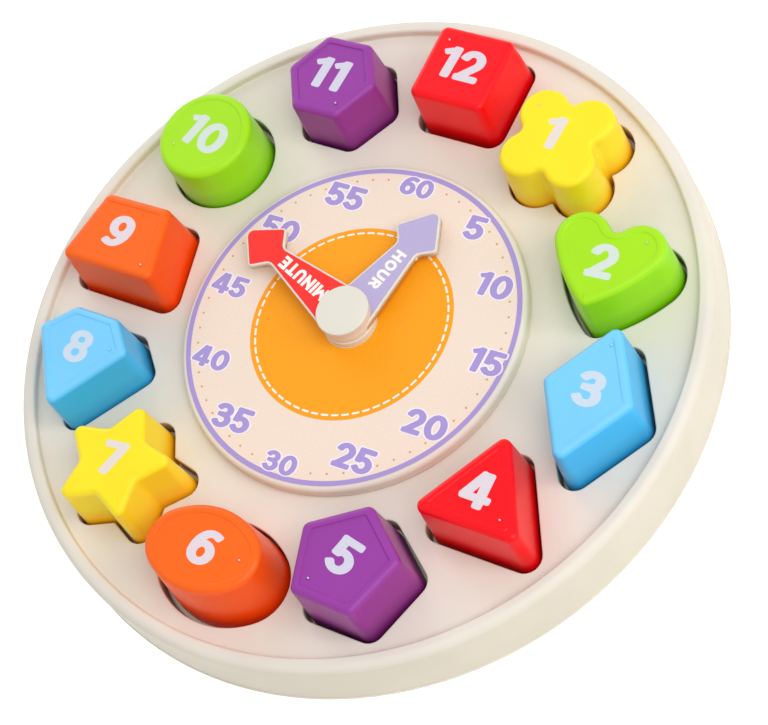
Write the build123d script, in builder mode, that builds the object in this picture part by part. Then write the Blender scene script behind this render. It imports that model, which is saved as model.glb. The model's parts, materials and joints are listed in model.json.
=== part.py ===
from build123d import *
import os
from math import acos, atan, atan2, degrees, pi, sin, sqrt
from typing import Callable, NamedTuple

os.makedirs("parts", exist_ok=True)

# A shape sorting clock lying on its back: a round moulded housing with twelve shaped
# wells, a lifting block in each well, and a raised teaching dial with two hands.
# Millimetres. +Z points out of the dial, +Y towards twelve o'clock, +X towards three.
# The origin is the centre of the flat back.

# Layout. The blocks' size sets the ring of wells, and the ring sets the housing and the dial
block_size = 41.0
well_gap = 10.76
well_count = 12
rim_margin = 5.6
dial_margin = 13.6
pitch_radius = (block_size + well_gap) / 2 / sin(pi / well_count)

# Housing
rim_step_radius = pitch_radius + block_size / 2 + rim_margin
rim_width = 5.7
shell_top_radius = rim_step_radius + rim_width
wall_lean = 0.6
shell_foot_radius = shell_top_radius + wall_lean
cover_ledge = 0.4
cover_radius = shell_foot_radius + cover_ledge
cover_edge = 1.0
cover_thickness = 2.2
cover_edge_round = 0.4
shell_wall = 2.4
shell_seat_gap = 0.15
face_height = 20.8
face_underside = face_height - shell_wall
rim_rise = 3.4
rim_height = face_height + rim_rise
rim_round = 3.4
rim_inner_round = 1.1
step_foot_round = 0.7
rib_thickness = 1.6
rib_depth = 6.0
rib_start_gap = 2.1
rib_bite = 1.1
rib_count = 12
boss_turn = 15.0

# Wells and the blocks that stand in them
well_depth = 8.0
well_floor = 1.8
well_wall = 1.8
well_mouth_round = 0.6
well_play = 1.2
block_rise = 21.2
block_top = face_height + block_rise
block_wall = 2.0
block_roof = 2.6
block_edge_round = 1.8
block_corner = 2.5
neck_round = 0.8
base_rim = 1.2
base_thickness = 1.8
base_gap = 0.1
panel_inset = 2.8
panel_round = 1.0
gate_radius = 0.9
gate_depth = 0.3

# Well outlines as shares of the blocks' size
square_side_share = 0.898
petal_offset_share = 0.219
petal_radius_share = 0.281
lobe_radius_share = 0.311
lobe_place_share = (0.263, 0.185)
heart_side_share = 1.528
heart_tip_share = 0.129
rhombus_shares = ((0, 0.815), (-0.511, 0), (0, -0.815), (0.511, 0))
triangle_shares = ((0, 0.735), (-0.647, -0.369), (0.647, -0.369))
pentagon_share = 0.602
oval_shares = (0.641, 0.478)
oval_end_share = 0.39
star_tip_share = 0.752
star_neck_share = 0.405
gem_shares = ((-0.253, 0.527), (-0.574, 0.194), (0, -0.618), (0.574, 0.194), (0.253, 0.527))
trapezoid_shares = ((-0.421, 0.437), (-0.608, -0.437), (0.608, -0.437), (0.421, 0.437))
circle_share = 0.504
hexagon_share = 0.542
petal_count = 4
lobe_end_angle = -30.0
pentagon_sides = 5
star_points = 5
hexagon_sides = 6

# How much smaller the top of each block is than its well, all round
square_inset = 3.4
flower_inset = 2.6
heart_inset = 3.2
rhombus_inset = 3.5
triangle_inset = 3.3
pentagon_inset = 3.3
oval_inset = 4.0
star_inset = 3.4
gem_inset = 2.8
trapezoid_inset = 3.7
circle_inset = 2.5
hexagon_inset = 3.2
panel_deep = 0.45
panel_shallow = 0.25

# Dial
dial_radius = pitch_radius - block_size / 2 - dial_margin
dial_rise = 5.1
dial_top = face_height + dial_rise
dial_wall = 2.4
dial_edge_round = 1.7
dial_foot_chamfer = 0.5
label_thickness = 0.2
label_border = 1.9
label_radius = dial_radius - label_border
label_gap = 0.3
hub_radius = 9.9
hub_rise = 3.0
hub_height = dial_top + hub_rise
hub_edge_round = 0.8
hub_tube_wall = 2.95
hub_tube_drop = 4.0
hub_tube_foot = face_underside - hub_tube_drop
hub_hole_gap = 0.3
dial_boss_radius = 4.0
dial_boss_setback = 20.9
dial_boss_reach = dial_radius - dial_boss_setback
dial_boss_count = 4
dial_boss_turn = 45.0

# Hands
hand_gap = 0.1
hand_thickness = 2.6
hand_edge_round = 0.5
hand_border = 0.7
eye_setback = 0.3
eye_radius = hub_radius - eye_setback
shank_radius = 4.0
shank_clearance = 0.05
hand_label_thickness = 0.2
hand_label_gap = 0.05
hand_label_setback = 2.6
hand_label_bore = eye_radius - hand_label_setback
knob_overhang = 0.1
knob_radius = hub_radius + knob_overhang
knob_thickness = 1.4
knob_edge_round = 0.5
hour_angle = 16.9
hour_neck_half = 4.9
hour_barb = 5.1
hour_shoulder_half = 10.5
hour_head_length = 13.8
hour_tip_setback = 12.1
minute_angle = 290.2
minute_neck_half = 3.8
minute_barb = 5.6
minute_shoulder_half = 10.1
minute_head_length = 13.0
minute_tip_setback = 6.8
hand_neck_round = 3.0
hand_shoulder_round = 1.6
hand_tip_round = 3.0

# Screws
cover_boss_setback = 8.1
cover_boss_reach = rim_step_radius - cover_boss_setback
cover_boss_count = 6
cover_boss_radius = 4.6
cover_boss_height = 6.0
screw_head_radius = 3.0
screw_head_height = 2.0
screw_head_room = 0.4
screw_shank_radius = 1.4
screw_length = 12.0
screw_hole_gap = 0.05
screw_pass_radius = 1.8
screw_slot_radius = 1.3
screw_slot_depth = 1.1
dial_screw_length = 7.0
knob_screw_length = 9.0
washer_radius = 8.0
washer_thickness = 1.0

# One overrun serves every cut that breaks through a face
overrun = 1.0

# Values that follow from the sizes above
rib_start_radius = dial_radius + rib_start_gap
rib_end_radius = shell_top_radius - shell_wall + rib_bite
well_bottom = face_height - well_depth
block_height = block_top - well_bottom
hour_tip_reach = label_radius - hour_tip_setback
hour_shoulder_reach = hour_tip_reach - hour_head_length
hour_neck_reach = hour_shoulder_reach - hour_barb
minute_tip_reach = label_radius - minute_tip_setback
minute_shoulder_reach = minute_tip_reach - minute_head_length
minute_neck_reach = minute_shoulder_reach - minute_barb
hour_level = hub_height + hand_gap
minute_level = hour_level + hand_thickness + hand_gap
knob_level = minute_level + hand_thickness + hand_gap
dial_underside = dial_top - dial_wall
bore_radius = shank_radius + shank_clearance
hub_tube_radius = bore_radius + hub_tube_wall
screw_hole_radius = screw_shank_radius + screw_hole_gap
cover_screw_tip = screw_head_room + screw_length
dial_screw_tip = face_underside - screw_head_height + dial_screw_length


def scaled(shares):
    """Points given as shares of the blocks' size, in millimetres."""
    return [(across * block_size, up * block_size) for across, up in shares]


def rounded_well(shares, inset):
    """Straight-sided outline with rounded corners."""
    with BuildSketch() as opening:
        Polygon(*scaled(shares), align=None)
        fillet(opening.vertices(), block_corner + inset)
    return opening.sketch


def square_well():
    """Square with rounded corners."""
    with BuildSketch() as opening:
        Rectangle(square_side_share * block_size, square_side_share * block_size)
        fillet(opening.vertices(), block_corner + square_inset)
    return opening.sketch


def flower_well():
    """Four round petals that meet in rounded necks."""
    spread = 2 * petal_offset_share * block_size
    with BuildSketch() as opening:
        with GridLocations(spread, spread, 2, 2):
            Circle(petal_radius_share * block_size)
        Rectangle(spread, spread)
        necks = opening.vertices().sort_by_distance((0, 0, 0))[:petal_count]
        fillet(necks, neck_round)
    return opening.sketch


def heart_well():
    """Two lobes, a rounded notch between them, sides that swell on to a rounded tip."""
    lobe_radius = lobe_radius_share * block_size
    side_radius = heart_side_share * block_size
    tip_round = heart_tip_share * block_size
    lobe = block_size * Vector(*lobe_place_share)
    swell = lobe - Vector(side_radius - lobe_radius, 0).rotate(Axis.Z, lobe_end_angle)
    tip = Vector(0, swell.Y - sqrt((side_radius - tip_round) ** 2 - swell.X**2))
    notch = Vector(0, lobe.Y + sqrt((lobe_radius + neck_round) ** 2 - lobe.X**2))
    tip_angle = degrees(atan2(tip.Y - swell.Y, -swell.X))
    notch_angle = degrees(atan2(notch.Y - lobe.Y, -lobe.X))
    lobe_sweep = notch_angle - lobe_end_angle
    side_sweep = lobe_end_angle - tip_angle
    with BuildSketch() as opening:
        with BuildLine():
            CenterArc((lobe.X, lobe.Y), lobe_radius, lobe_end_angle, lobe_sweep)
            CenterArc((notch.X, notch.Y), neck_round, notch_angle + 180, 180 - 2 * notch_angle)
            CenterArc((-lobe.X, lobe.Y), lobe_radius, 180 - notch_angle, lobe_sweep)
            CenterArc((-swell.X, swell.Y), side_radius, 180 - lobe_end_angle, side_sweep)
            CenterArc((tip.X, tip.Y), tip_round, 180 - tip_angle, 180 + 2 * tip_angle)
            CenterArc((swell.X, swell.Y), side_radius, tip_angle, side_sweep)
        make_face()
    return opening.sketch


def rhombus_well():
    """Tall rhombus."""
    return rounded_well(rhombus_shares, rhombus_inset)


def triangle_well():
    """Triangle that points up, about its own centre."""
    return rounded_well(triangle_shares, triangle_inset)


def pentagon_well():
    """Regular pentagon with one corner up."""
    with BuildSketch() as opening:
        RegularPolygon(pentagon_share * block_size, pentagon_sides, rotation=90)
        fillet(opening.vertices(), block_corner + pentagon_inset)
    return opening.sketch


def oval_well():
    """Wide oval of four arcs that run into each other."""
    (half_width, half_height), *_ = scaled([oval_shares])
    end_radius = oval_end_share * block_size
    end_offset = half_width - end_radius
    rise = end_offset**2 + half_height**2 - end_radius**2
    side_radius = rise / (2 * (half_height - end_radius))
    side_offset = side_radius - half_height
    meeting = degrees(atan2(side_offset, end_offset))
    with BuildSketch() as opening:
        with BuildLine():
            CenterArc((end_offset, 0), end_radius, -meeting, 2 * meeting)
            CenterArc((0, -side_offset), side_radius, meeting, 180 - 2 * meeting)
            CenterArc((-end_offset, 0), end_radius, 180 - meeting, 2 * meeting)
            CenterArc((0, side_offset), side_radius, 180 + meeting, 180 - 2 * meeting)
        make_face()
    return opening.sketch


def star_well():
    """Five-pointed star with blunt points."""
    tip_radius = star_tip_share * block_size
    neck_radius = star_neck_share * block_size
    half_turn = 180 / star_points
    tips = [place.position for place in PolarLocations(tip_radius, star_points, start_angle=90)]
    necks = [place.position for place in PolarLocations(neck_radius, star_points, 90 + half_turn)]
    with BuildSketch() as opening:
        Polygon(*[point for pair in zip(tips, necks) for point in pair], align=None)
        outer = opening.vertices().sort_by_distance((0, 0, 0))[-star_points:]
        fillet(outer, block_corner + star_inset)
        inner = opening.vertices().sort_by_distance((0, 0, 0))[:star_points]
        fillet(inner, neck_round)
    return opening.sketch


def gem_well():
    """Cut gem: a flat top, two shoulders and a point down."""
    return rounded_well(gem_shares, gem_inset)


def trapezoid_well():
    """Trapezoid with its narrow side up."""
    return rounded_well(trapezoid_shares, trapezoid_inset)


def circle_well():
    """Circle."""
    with BuildSketch() as opening:
        Circle(circle_share * block_size)
    return opening.sketch


def hexagon_well():
    """Regular hexagon with a flat side up."""
    with BuildSketch() as opening:
        RegularPolygon(hexagon_share * block_size, hexagon_sides)
        fillet(opening.vertices(), block_corner + hexagon_inset)
    return opening.sketch


class Block(NamedTuple):
    """One sorting block: its well's outline and place, how it rests, and the marks on its top."""

    name: str
    draw: Callable
    inset: float
    panel: float
    place_share: tuple
    rest_share: tuple
    turn_share: float
    gate_share: tuple


# A well's place is a share of the pitch radius. A block rests off its well's middle by a share
# of the play, and its turn there takes up another. A gate mark's place is a share of its size.
blocks = [
    Block(
        "block_12_square", square_well, square_inset, 0,
        (0.006, 1.014), (0.22, 0.5), 0, (-0.234, 0.232),
    ),
    Block(
        "block_01_flower", flower_well, flower_inset, 0,
        (0.486, 0.852), (0.1, -0.6), 0.3, (-0.273, 0.259),
    ),
    Block(
        "block_02_heart", heart_well, heart_inset, panel_shallow,
        (0.854, 0.436), (0.5, -0.3), 0.45, (0.317, 0.258),
    ),
    Block(
        "block_03_rhombus", rhombus_well, rhombus_inset, panel_shallow,
        (1.023, -0.035), (0.3, -0.15), 0, (0.017, 0.451),
    ),
    Block(
        "block_04_triangle", triangle_well, triangle_inset, panel_shallow,
        (0.825, -0.494), (0.45, -0.05), 0, (0.276, -0.149),
    ),
    Block(
        "block_05_pentagon", pentagon_well, pentagon_inset, panel_deep,
        (0.480, -0.858), (0.3, -0.3), -0.45, (-0.195, -0.256),
    ),
    Block(
        "block_06_oval", oval_well, oval_inset, panel_shallow,
        (-0.023, -1.007), (0, 0.6), 0.6, (0.385, 0.005),
    ),
    Block(
        "block_07_star", star_well, star_inset, 0,
        (-0.523, -0.813), (0.3, -0.5), 0, None,
    ),
    Block(
        "block_08_gem", gem_well, gem_inset, panel_shallow,
        (-0.892, -0.498), (0.2, -0.6), 0, (0.322, 0.171),
    ),
    Block(
        "block_09_trapezoid", trapezoid_well, trapezoid_inset, panel_shallow,
        (-0.967, 0.006), (0.1, 0.05), 0.3, (0.351, -0.237),
    ),
    Block(
        "block_10_circle", circle_well, circle_inset, panel_shallow,
        (-0.862, 0.493), (0.4, -0.65), 0, (-0.241, -0.173),
    ),
    Block(
        "block_11_hexagon", hexagon_well, hexagon_inset, panel_deep,
        (-0.481, 0.860), (0.4, -0.4), 0.45, (0.173, -0.259),
    ),
]
openings = {block.name: block.draw() for block in blocks}


def well_seat(block, level):
    """Plane at the centre of a block's well, at a level."""
    across_share, up_share = block.place_share
    return Plane(origin=(across_share * pitch_radius, up_share * pitch_radius, level))


def block_seat(block, level):
    """Plane at a block's own centre, turned as the block rests in its well."""
    across_share, up_share = block.rest_share
    well = well_seat(block, level)
    middle = well.from_local_coords((across_share * well_play, up_share * well_play, 0))
    turn = degrees(atan(2 * block.turn_share * well_play / block_size))
    return Plane(origin=middle).rotated((0, 0, turn))


def lean(block):
    """Angle by which the walls of a block lean in towards its top."""
    return degrees(atan((block.inset - well_play) / block_height))


def save(piece, name):
    """Label a finished piece and write it."""
    piece.label = name
    export_step(piece, f"parts/{name}.step")


def front_shell():
    """Housing front: rim, face, twelve wells with floors, bosses and ribs in one moulding."""
    bore = hub_tube_radius + hub_hole_gap
    inside = shell_top_radius - shell_wall
    with BuildPart() as shell:
        with BuildSketch(Plane.XZ) as profile:
            with BuildLine():
                Polyline(
                    (bore, face_height),
                    (rim_step_radius, face_height),
                    (rim_step_radius, rim_height),
                    (shell_top_radius, rim_height),
                    (shell_foot_radius, cover_edge),
                    (shell_foot_radius - shell_wall, cover_edge),
                    (inside, face_underside),
                    (bore, face_underside),
                    close=True,
                )
            make_face()
            fillet(profile.vertices().group_by(Axis.Y)[-1].sort_by(Axis.X)[-1], rim_round)
            fillet(profile.vertices().group_by(Axis.Y)[-1].sort_by(Axis.X)[0], rim_inner_round)
            step_foot = profile.vertices().sort_by_distance((rim_step_radius, face_height, 0))[0]
            fillet(step_foot, step_foot_round)
        revolve(axis=Axis.Z)
        with BuildSketch(Plane.XY.offset(face_underside - rib_depth)):
            with PolarLocations((rib_start_radius + rib_end_radius) / 2, rib_count, boss_turn):
                Rectangle(rib_end_radius - rib_start_radius, rib_thickness)
        extrude(amount=rib_depth)
        with BuildSketch(Plane.XY.offset(cover_boss_height)):
            with PolarLocations(cover_boss_reach, cover_boss_count, boss_turn):
                Circle(cover_boss_radius)
        extrude(amount=face_underside - cover_boss_height)
        for block in blocks:
            with BuildSketch(well_seat(block, well_bottom - well_floor)):
                add(openings[block.name])
                offset(amount=well_wall)
        extrude(amount=face_underside - well_bottom + well_floor)
        for block in blocks:
            with BuildSketch(well_seat(block, well_bottom)):
                add(openings[block.name])
        extrude(amount=well_depth + overrun, mode=Mode.SUBTRACT)
        with BuildSketch(Plane.XY.offset(cover_boss_height)):
            with PolarLocations(cover_boss_reach, cover_boss_count, boss_turn):
                Circle(screw_hole_radius)
        extrude(amount=cover_screw_tip - cover_boss_height + overrun, mode=Mode.SUBTRACT)
        with BuildSketch(Plane.XY.offset(face_underside)):
            with PolarLocations(dial_boss_reach, dial_boss_count, dial_boss_turn):
                Circle(screw_pass_radius)
        extrude(amount=shell_wall, mode=Mode.SUBTRACT)
        face = shell.faces().filter_by(Plane.XY).group_by(Axis.Z)[-2].sort_by(SortBy.AREA)[-1]
        mouths = [wire for wire in face.inner_wires() if wire.length > 2 * block_size]
        fillet([edge for wire in mouths for edge in wire.edges()], well_mouth_round)
    return shell.part


save(front_shell(), "front_shell")


def rear_cover():
    """Flat back with a ledge that the shell stands on and recessed screw seats."""
    with BuildPart() as cover:
        with BuildSketch(Plane.XY):
            Circle(cover_radius)
        extrude(amount=cover_edge)
        fillet(cover.edges().group_by(Axis.Z)[0], cover_edge_round)
        with BuildSketch(Plane.XY):
            Circle(shell_foot_radius - shell_wall - shell_seat_gap)
        extrude(amount=cover_thickness)
        with BuildSketch(Plane.XY):
            with PolarLocations(cover_boss_reach, cover_boss_count, boss_turn):
                Circle(cover_boss_radius)
        extrude(amount=cover_boss_height)
        with BuildSketch(Plane.XY):
            with PolarLocations(cover_boss_reach, cover_boss_count, boss_turn):
                Circle(screw_pass_radius)
        extrude(amount=cover_boss_height, mode=Mode.SUBTRACT)
        with BuildSketch(Plane.XY):
            with PolarLocations(cover_boss_reach, cover_boss_count, boss_turn):
                Circle(screw_head_radius + screw_head_room)
        extrude(amount=screw_head_height + screw_head_room, mode=Mode.SUBTRACT)
    return cover.part


save(rear_cover(), "rear_cover")


def screw(length, level):
    """Cross-head screw with its head down at a level and its shank up."""
    with BuildPart() as fastener:
        with BuildSketch(Plane.XY.offset(level)):
            Circle(screw_head_radius)
        extrude(amount=screw_head_height)
        chamfer(fastener.edges().group_by(Axis.Z)[0], screw_head_room)
        with BuildSketch(Plane.XY.offset(level + screw_head_height)):
            Circle(screw_shank_radius)
        extrude(amount=length - screw_head_height)
        with BuildSketch(Plane.XY.offset(level)):
            Rectangle(2 * screw_slot_radius, screw_slot_radius / 2)
            Rectangle(screw_slot_radius / 2, 2 * screw_slot_radius)
        extrude(amount=screw_slot_depth, mode=Mode.SUBTRACT)
    return fastener.part


def screw_ring(fastener, reach, count, turn):
    """Equal screws on a circle."""
    with BuildPart() as ring:
        with PolarLocations(reach, count, turn):
            add(fastener)
    return ring.part


cover_screw = screw(screw_length, screw_head_room)
save(screw_ring(cover_screw, cover_boss_reach, cover_boss_count, boss_turn), "rear_cover_screws")


def dial_plate():
    """Raised round dial: a cap with a skirt, a hub that runs through the face, and screw bosses."""
    with BuildPart() as dial:
        with BuildSketch(Plane.XZ) as profile:
            with BuildLine():
                Polyline(
                    (bore_radius, hub_height),
                    (hub_radius, hub_height),
                    (hub_radius, dial_top),
                    (dial_radius, dial_top),
                    (dial_radius, face_height + dial_foot_chamfer),
                    (dial_radius - dial_foot_chamfer, face_height),
                    (dial_radius - dial_wall, face_height),
                    (dial_radius - dial_wall, dial_underside),
                    (hub_tube_radius, dial_underside),
                    (hub_tube_radius, hub_tube_foot),
                    (bore_radius, hub_tube_foot),
                    close=True,
                )
            make_face()
            rim = profile.vertices().sort_by_distance((dial_radius, dial_top, 0))[0]
            fillet(rim, dial_edge_round)
            hub_rim = profile.vertices().sort_by_distance((hub_radius, hub_height, 0))[0]
            fillet(hub_rim, hub_edge_round)
        revolve(axis=Axis.Z)
        with BuildSketch(Plane.XY.offset(face_height)):
            with PolarLocations(dial_boss_reach, dial_boss_count, dial_boss_turn):
                Circle(dial_boss_radius)
        extrude(amount=dial_underside - face_height)
        with BuildSketch(Plane.XY.offset(face_height)):
            with PolarLocations(dial_boss_reach, dial_boss_count, dial_boss_turn):
                Circle(screw_hole_radius)
        extrude(amount=dial_screw_tip - face_height + screw_hole_gap, mode=Mode.SUBTRACT)
    return dial.part


save(dial_plate(), "dial_plate")


def dial_label():
    """Printed disc that lies on the dial, round the hub."""
    with BuildPart() as label:
        with BuildSketch(Plane.XY.offset(dial_top)):
            Circle(label_radius)
            Circle(hub_radius + label_gap, mode=Mode.SUBTRACT)
        extrude(amount=label_thickness)
    return label.part


save(dial_label(), "dial_label")
dial_screw = screw(dial_screw_length, face_underside - screw_head_height)
save(screw_ring(dial_screw, dial_boss_reach, dial_boss_count, dial_boss_turn), "dial_plate_screws")


class Hand(NamedTuple):
    """Outline of a hand, as reaches from its pivot and half widths."""

    angle: float
    neck_half: float
    neck_reach: float
    shoulder_half: float
    shoulder_reach: float
    tip_reach: float


hour = Hand(
    hour_angle,
    hour_neck_half,
    hour_neck_reach,
    hour_shoulder_half,
    hour_shoulder_reach,
    hour_tip_reach,
)
minute = Hand(
    minute_angle,
    minute_neck_half,
    minute_neck_reach,
    minute_shoulder_half,
    minute_shoulder_reach,
    minute_tip_reach,
)


def hand_outline(hand):
    """Round eye, a shaft that leaves it without a corner and narrows, and a broad arrow head."""
    neck = Vector(hand.neck_half, hand.neck_reach)
    root_angle = degrees(atan2(neck.Y, neck.X) - acos(eye_radius / neck.length))
    root = Vector(eye_radius, 0).rotate(Axis.Z, root_angle)
    with BuildSketch() as outline:
        with BuildLine():
            CenterArc((0, 0), eye_radius, 180 - root_angle, 180 + 2 * root_angle)
            Polyline(
                (root.X, root.Y),
                (neck.X, neck.Y),
                (hand.shoulder_half, hand.shoulder_reach),
                (0, hand.tip_reach),
                (-hand.shoulder_half, hand.shoulder_reach),
                (-neck.X, neck.Y),
                (-root.X, root.Y),
            )
        make_face()
        fillet(outline.vertices().group_by(Axis.Y)[-1], hand_tip_round)
        for side in (-1, 1):
            shoulder = (side * hand.shoulder_half, hand.shoulder_reach, 0)
            fillet(outline.vertices().sort_by_distance(shoulder)[0], hand_shoulder_round)
            neck = (side * hand.neck_half, hand.neck_reach, 0)
            fillet(outline.vertices().sort_by_distance(neck)[0], hand_neck_round)
    return outline.sketch


def hand_plane(hand, level):
    """Plane of a hand: its own +Y runs along it."""
    return Plane.XY.rotated((0, 0, -hand.angle)).offset(level)


def hand_body(hand, outline, level):
    """Moulded hand with a shallow recess for its label."""
    with BuildPart() as body:
        with BuildSketch(hand_plane(hand, level)):
            add(outline)
            Circle(bore_radius, mode=Mode.SUBTRACT)
        extrude(amount=hand_thickness)
        rim = body.faces().sort_by(Axis.Z)[-1].outer_wire().edges()
        fillet(rim, hand_edge_round)
        with BuildSketch(hand_plane(hand, level + hand_thickness - hand_label_thickness)):
            add(outline)
            offset(amount=-hand_border)
            Circle(hand_label_bore, mode=Mode.SUBTRACT)
        extrude(amount=hand_label_thickness, mode=Mode.SUBTRACT)
    return body.part


def hand_label(hand, outline, level):
    """Printed label that fills the recess."""
    with BuildPart() as label:
        with BuildSketch(hand_plane(hand, level + hand_thickness - hand_label_thickness)):
            add(outline)
            offset(amount=-hand_border - hand_label_gap)
            Circle(hand_label_bore + hand_label_gap, mode=Mode.SUBTRACT)
        extrude(amount=hand_label_thickness)
    return label.part


hour_outline = hand_outline(hour)
minute_outline = hand_outline(minute)
save(hand_body(hour, hour_outline, hour_level), "hour_hand")
save(hand_label(hour, hour_outline, hour_level), "hour_hand_label")
save(hand_body(minute, minute_outline, minute_level), "minute_hand")
save(hand_label(minute, minute_outline, minute_level), "minute_hand_label")


def hand_knob():
    """Flat knob whose shank runs down through both hands and the hub."""
    with BuildPart() as knob:
        with BuildSketch(Plane.XY.offset(knob_level)):
            Circle(knob_radius)
        extrude(amount=knob_thickness)
        fillet(knob.edges().group_by(Axis.Z)[-1], knob_edge_round)
        with BuildSketch(Plane.XY.offset(hub_tube_foot)):
            Circle(shank_radius)
        extrude(amount=knob_level - hub_tube_foot)
        with BuildSketch(Plane.XY.offset(hub_tube_foot)):
            Circle(screw_hole_radius)
        extrude(amount=knob_screw_length, mode=Mode.SUBTRACT)
    return knob.part


save(hand_knob(), "hand_knob")


def knob_washer():
    """Washer that holds the knob's shank up against the hub."""
    with BuildPart() as washer:
        with BuildSketch(Plane.XY.offset(hub_tube_foot - washer_thickness)):
            Circle(washer_radius)
            Circle(screw_pass_radius, mode=Mode.SUBTRACT)
        extrude(amount=washer_thickness)
    return washer.part


save(knob_washer(), "knob_washer")
save(screw(knob_screw_length, hub_tube_foot - washer_thickness - screw_head_height), "knob_screw")


def block_body(block, foot):
    """Hollow block: walls that lean in, a rounded top, a recess for its base, and its top marks."""
    top_inset = block.inset - well_play
    with BuildPart() as body:
        with BuildSketch(block_seat(block, well_bottom)):
            add(foot)
        extrude(amount=block_height, taper=lean(block))
        fillet(body.edges().group_by(Axis.Z)[-1], block_edge_round)
        with BuildSketch(block_seat(block, well_bottom)):
            add(foot)
            offset(amount=-block_wall)
        extrude(amount=block_height - block_roof, taper=lean(block), mode=Mode.SUBTRACT)
        with BuildSketch(block_seat(block, well_bottom)):
            add(foot)
            offset(amount=-base_rim)
        extrude(amount=base_thickness, mode=Mode.SUBTRACT)
        if block.panel:
            with BuildSketch(block_seat(block, block_top - block.panel)):
                add(foot)
                offset(amount=-(top_inset + panel_inset + panel_round))
                offset(amount=panel_round)
            extrude(amount=block.panel + overrun, mode=Mode.SUBTRACT)
        if block.gate_share:
            with BuildSketch(block_seat(block, block_top - gate_depth - block.panel)):
                with Locations([block_size * Vector(*block.gate_share)]):
                    Circle(gate_radius)
            extrude(amount=gate_depth + block.panel, mode=Mode.SUBTRACT)
    return body.part


def block_base(block, foot):
    """Plate that closes a block from below."""
    with BuildPart() as base:
        with BuildSketch(block_seat(block, well_bottom)):
            add(foot)
            offset(amount=-base_rim - base_gap)
        extrude(amount=base_thickness)
    return base.part


for block in blocks:
    foot = offset(openings[block.name], -well_play)
    save(block_body(block, foot), block.name)
    save(block_base(block, foot), f"{block.name}_base")
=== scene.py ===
"""Looks of a shape sorting clock: moulded housing, twelve printed blocks and a teaching dial.

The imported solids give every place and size. This file dresses them in moulded plastic,
and adds what is printed on them: the dial's rings, dots, dashes and numbers, the words on
the hands and the hour numbers on the blocks.
"""

import json
import logging
from dataclasses import dataclass, field
from enum import Enum
from functools import cache
from typing import Callable

import bmesh
import bpy
import numpy as np
from mathutils import Euler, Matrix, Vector
from mathutils.geometry import delaunay_2d_cdt

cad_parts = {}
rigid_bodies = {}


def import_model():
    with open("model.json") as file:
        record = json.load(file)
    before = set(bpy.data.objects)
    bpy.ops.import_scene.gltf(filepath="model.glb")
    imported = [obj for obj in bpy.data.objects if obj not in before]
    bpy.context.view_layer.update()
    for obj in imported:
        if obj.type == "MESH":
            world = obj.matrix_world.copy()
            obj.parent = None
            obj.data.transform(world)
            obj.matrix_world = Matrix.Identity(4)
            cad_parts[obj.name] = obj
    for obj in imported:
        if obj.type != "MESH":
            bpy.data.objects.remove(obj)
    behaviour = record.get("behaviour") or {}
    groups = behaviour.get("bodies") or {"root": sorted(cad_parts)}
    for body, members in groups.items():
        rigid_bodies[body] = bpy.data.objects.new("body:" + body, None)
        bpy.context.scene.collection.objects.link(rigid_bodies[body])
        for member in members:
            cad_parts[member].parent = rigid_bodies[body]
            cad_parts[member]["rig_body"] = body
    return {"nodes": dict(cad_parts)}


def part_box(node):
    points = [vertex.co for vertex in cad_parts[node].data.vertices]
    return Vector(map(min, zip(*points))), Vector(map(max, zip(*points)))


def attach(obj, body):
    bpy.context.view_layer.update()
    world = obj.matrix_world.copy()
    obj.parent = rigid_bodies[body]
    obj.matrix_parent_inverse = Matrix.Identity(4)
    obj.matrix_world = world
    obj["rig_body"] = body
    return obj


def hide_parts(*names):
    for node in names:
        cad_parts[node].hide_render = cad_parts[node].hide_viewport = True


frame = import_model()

log = logging.getLogger("clock")
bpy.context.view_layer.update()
MM = 0.001
WELD_MM = 0.001
FULL_TURN = 360.0
RUN_POINTS = 12  # steps of a stroke's line that one outline covers
CAP_POINTS = 6  # points on each quarter circle of a stroke's end
ARC_STEP = 9.0  # degrees between the points of a stroke's arc
SHARP_SHARE = 0.02  # radius of a corner that is as good as sharp, as a share of the least one
BLOCK_SIZE = 41.0
PITCH_RADIUS = 99.993  # of the ring that the wells stand on
NOISE_BAND = {1: 0.3, 2: 0.7}  # from and to of a range that takes in most of a noise texture
SPECULAR_LEVEL = 0.22  # a soft gloss: the mould's grain and the ink scatter most of it
Tree, Socket = bpy.types.NodeTree, bpy.types.NodeSocket


def linear(colour: str) -> tuple[float, float, float, float]:
    """Turn an sRGB hex colour into linear light.

    Args:
        colour: six hex digits after a hash.

    Returns:
        Red, green, blue and a full alpha, with the sRGB curve undone.
    """
    parts = np.array([int(colour[i : i + 2], 16) for i in (1, 3, 5)]) / 255
    low = parts / 12.92
    high = ((parts + 0.055) / 1.055) ** 2.4
    return (*np.where(parts <= 0.04045, low, high).tolist(), 1.0)


def add_node(
    tree: Tree, kind: str, inputs: dict, output: str | int = 0, **settings
) -> Socket | None:
    """Add a node, set it and link it.

    Args:
        tree: the material's or world's node tree.
        kind: Blender's name of the node.
        inputs: socket name or number to a value, or to an output socket to link from.
        output: name or number of the output that is wanted.
        settings: attributes of the node itself.

    Returns:
        The output, if the node has any.
    """
    node = tree.nodes.new(kind)
    for key, value in settings.items():
        setattr(node, key, value)
    for key, value in inputs.items():
        if isinstance(value, Socket):
            tree.links.new(value, node.inputs[key])
        else:
            node.inputs[key].default_value = value
    return node.outputs[output] if node.outputs else None


def cleared(owner: bpy.types.Material | bpy.types.World) -> Tree:
    """The node tree of a new material or world, emptied."""
    owner.use_nodes = True
    owner.node_tree.nodes.clear()
    return owner.node_tree


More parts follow.
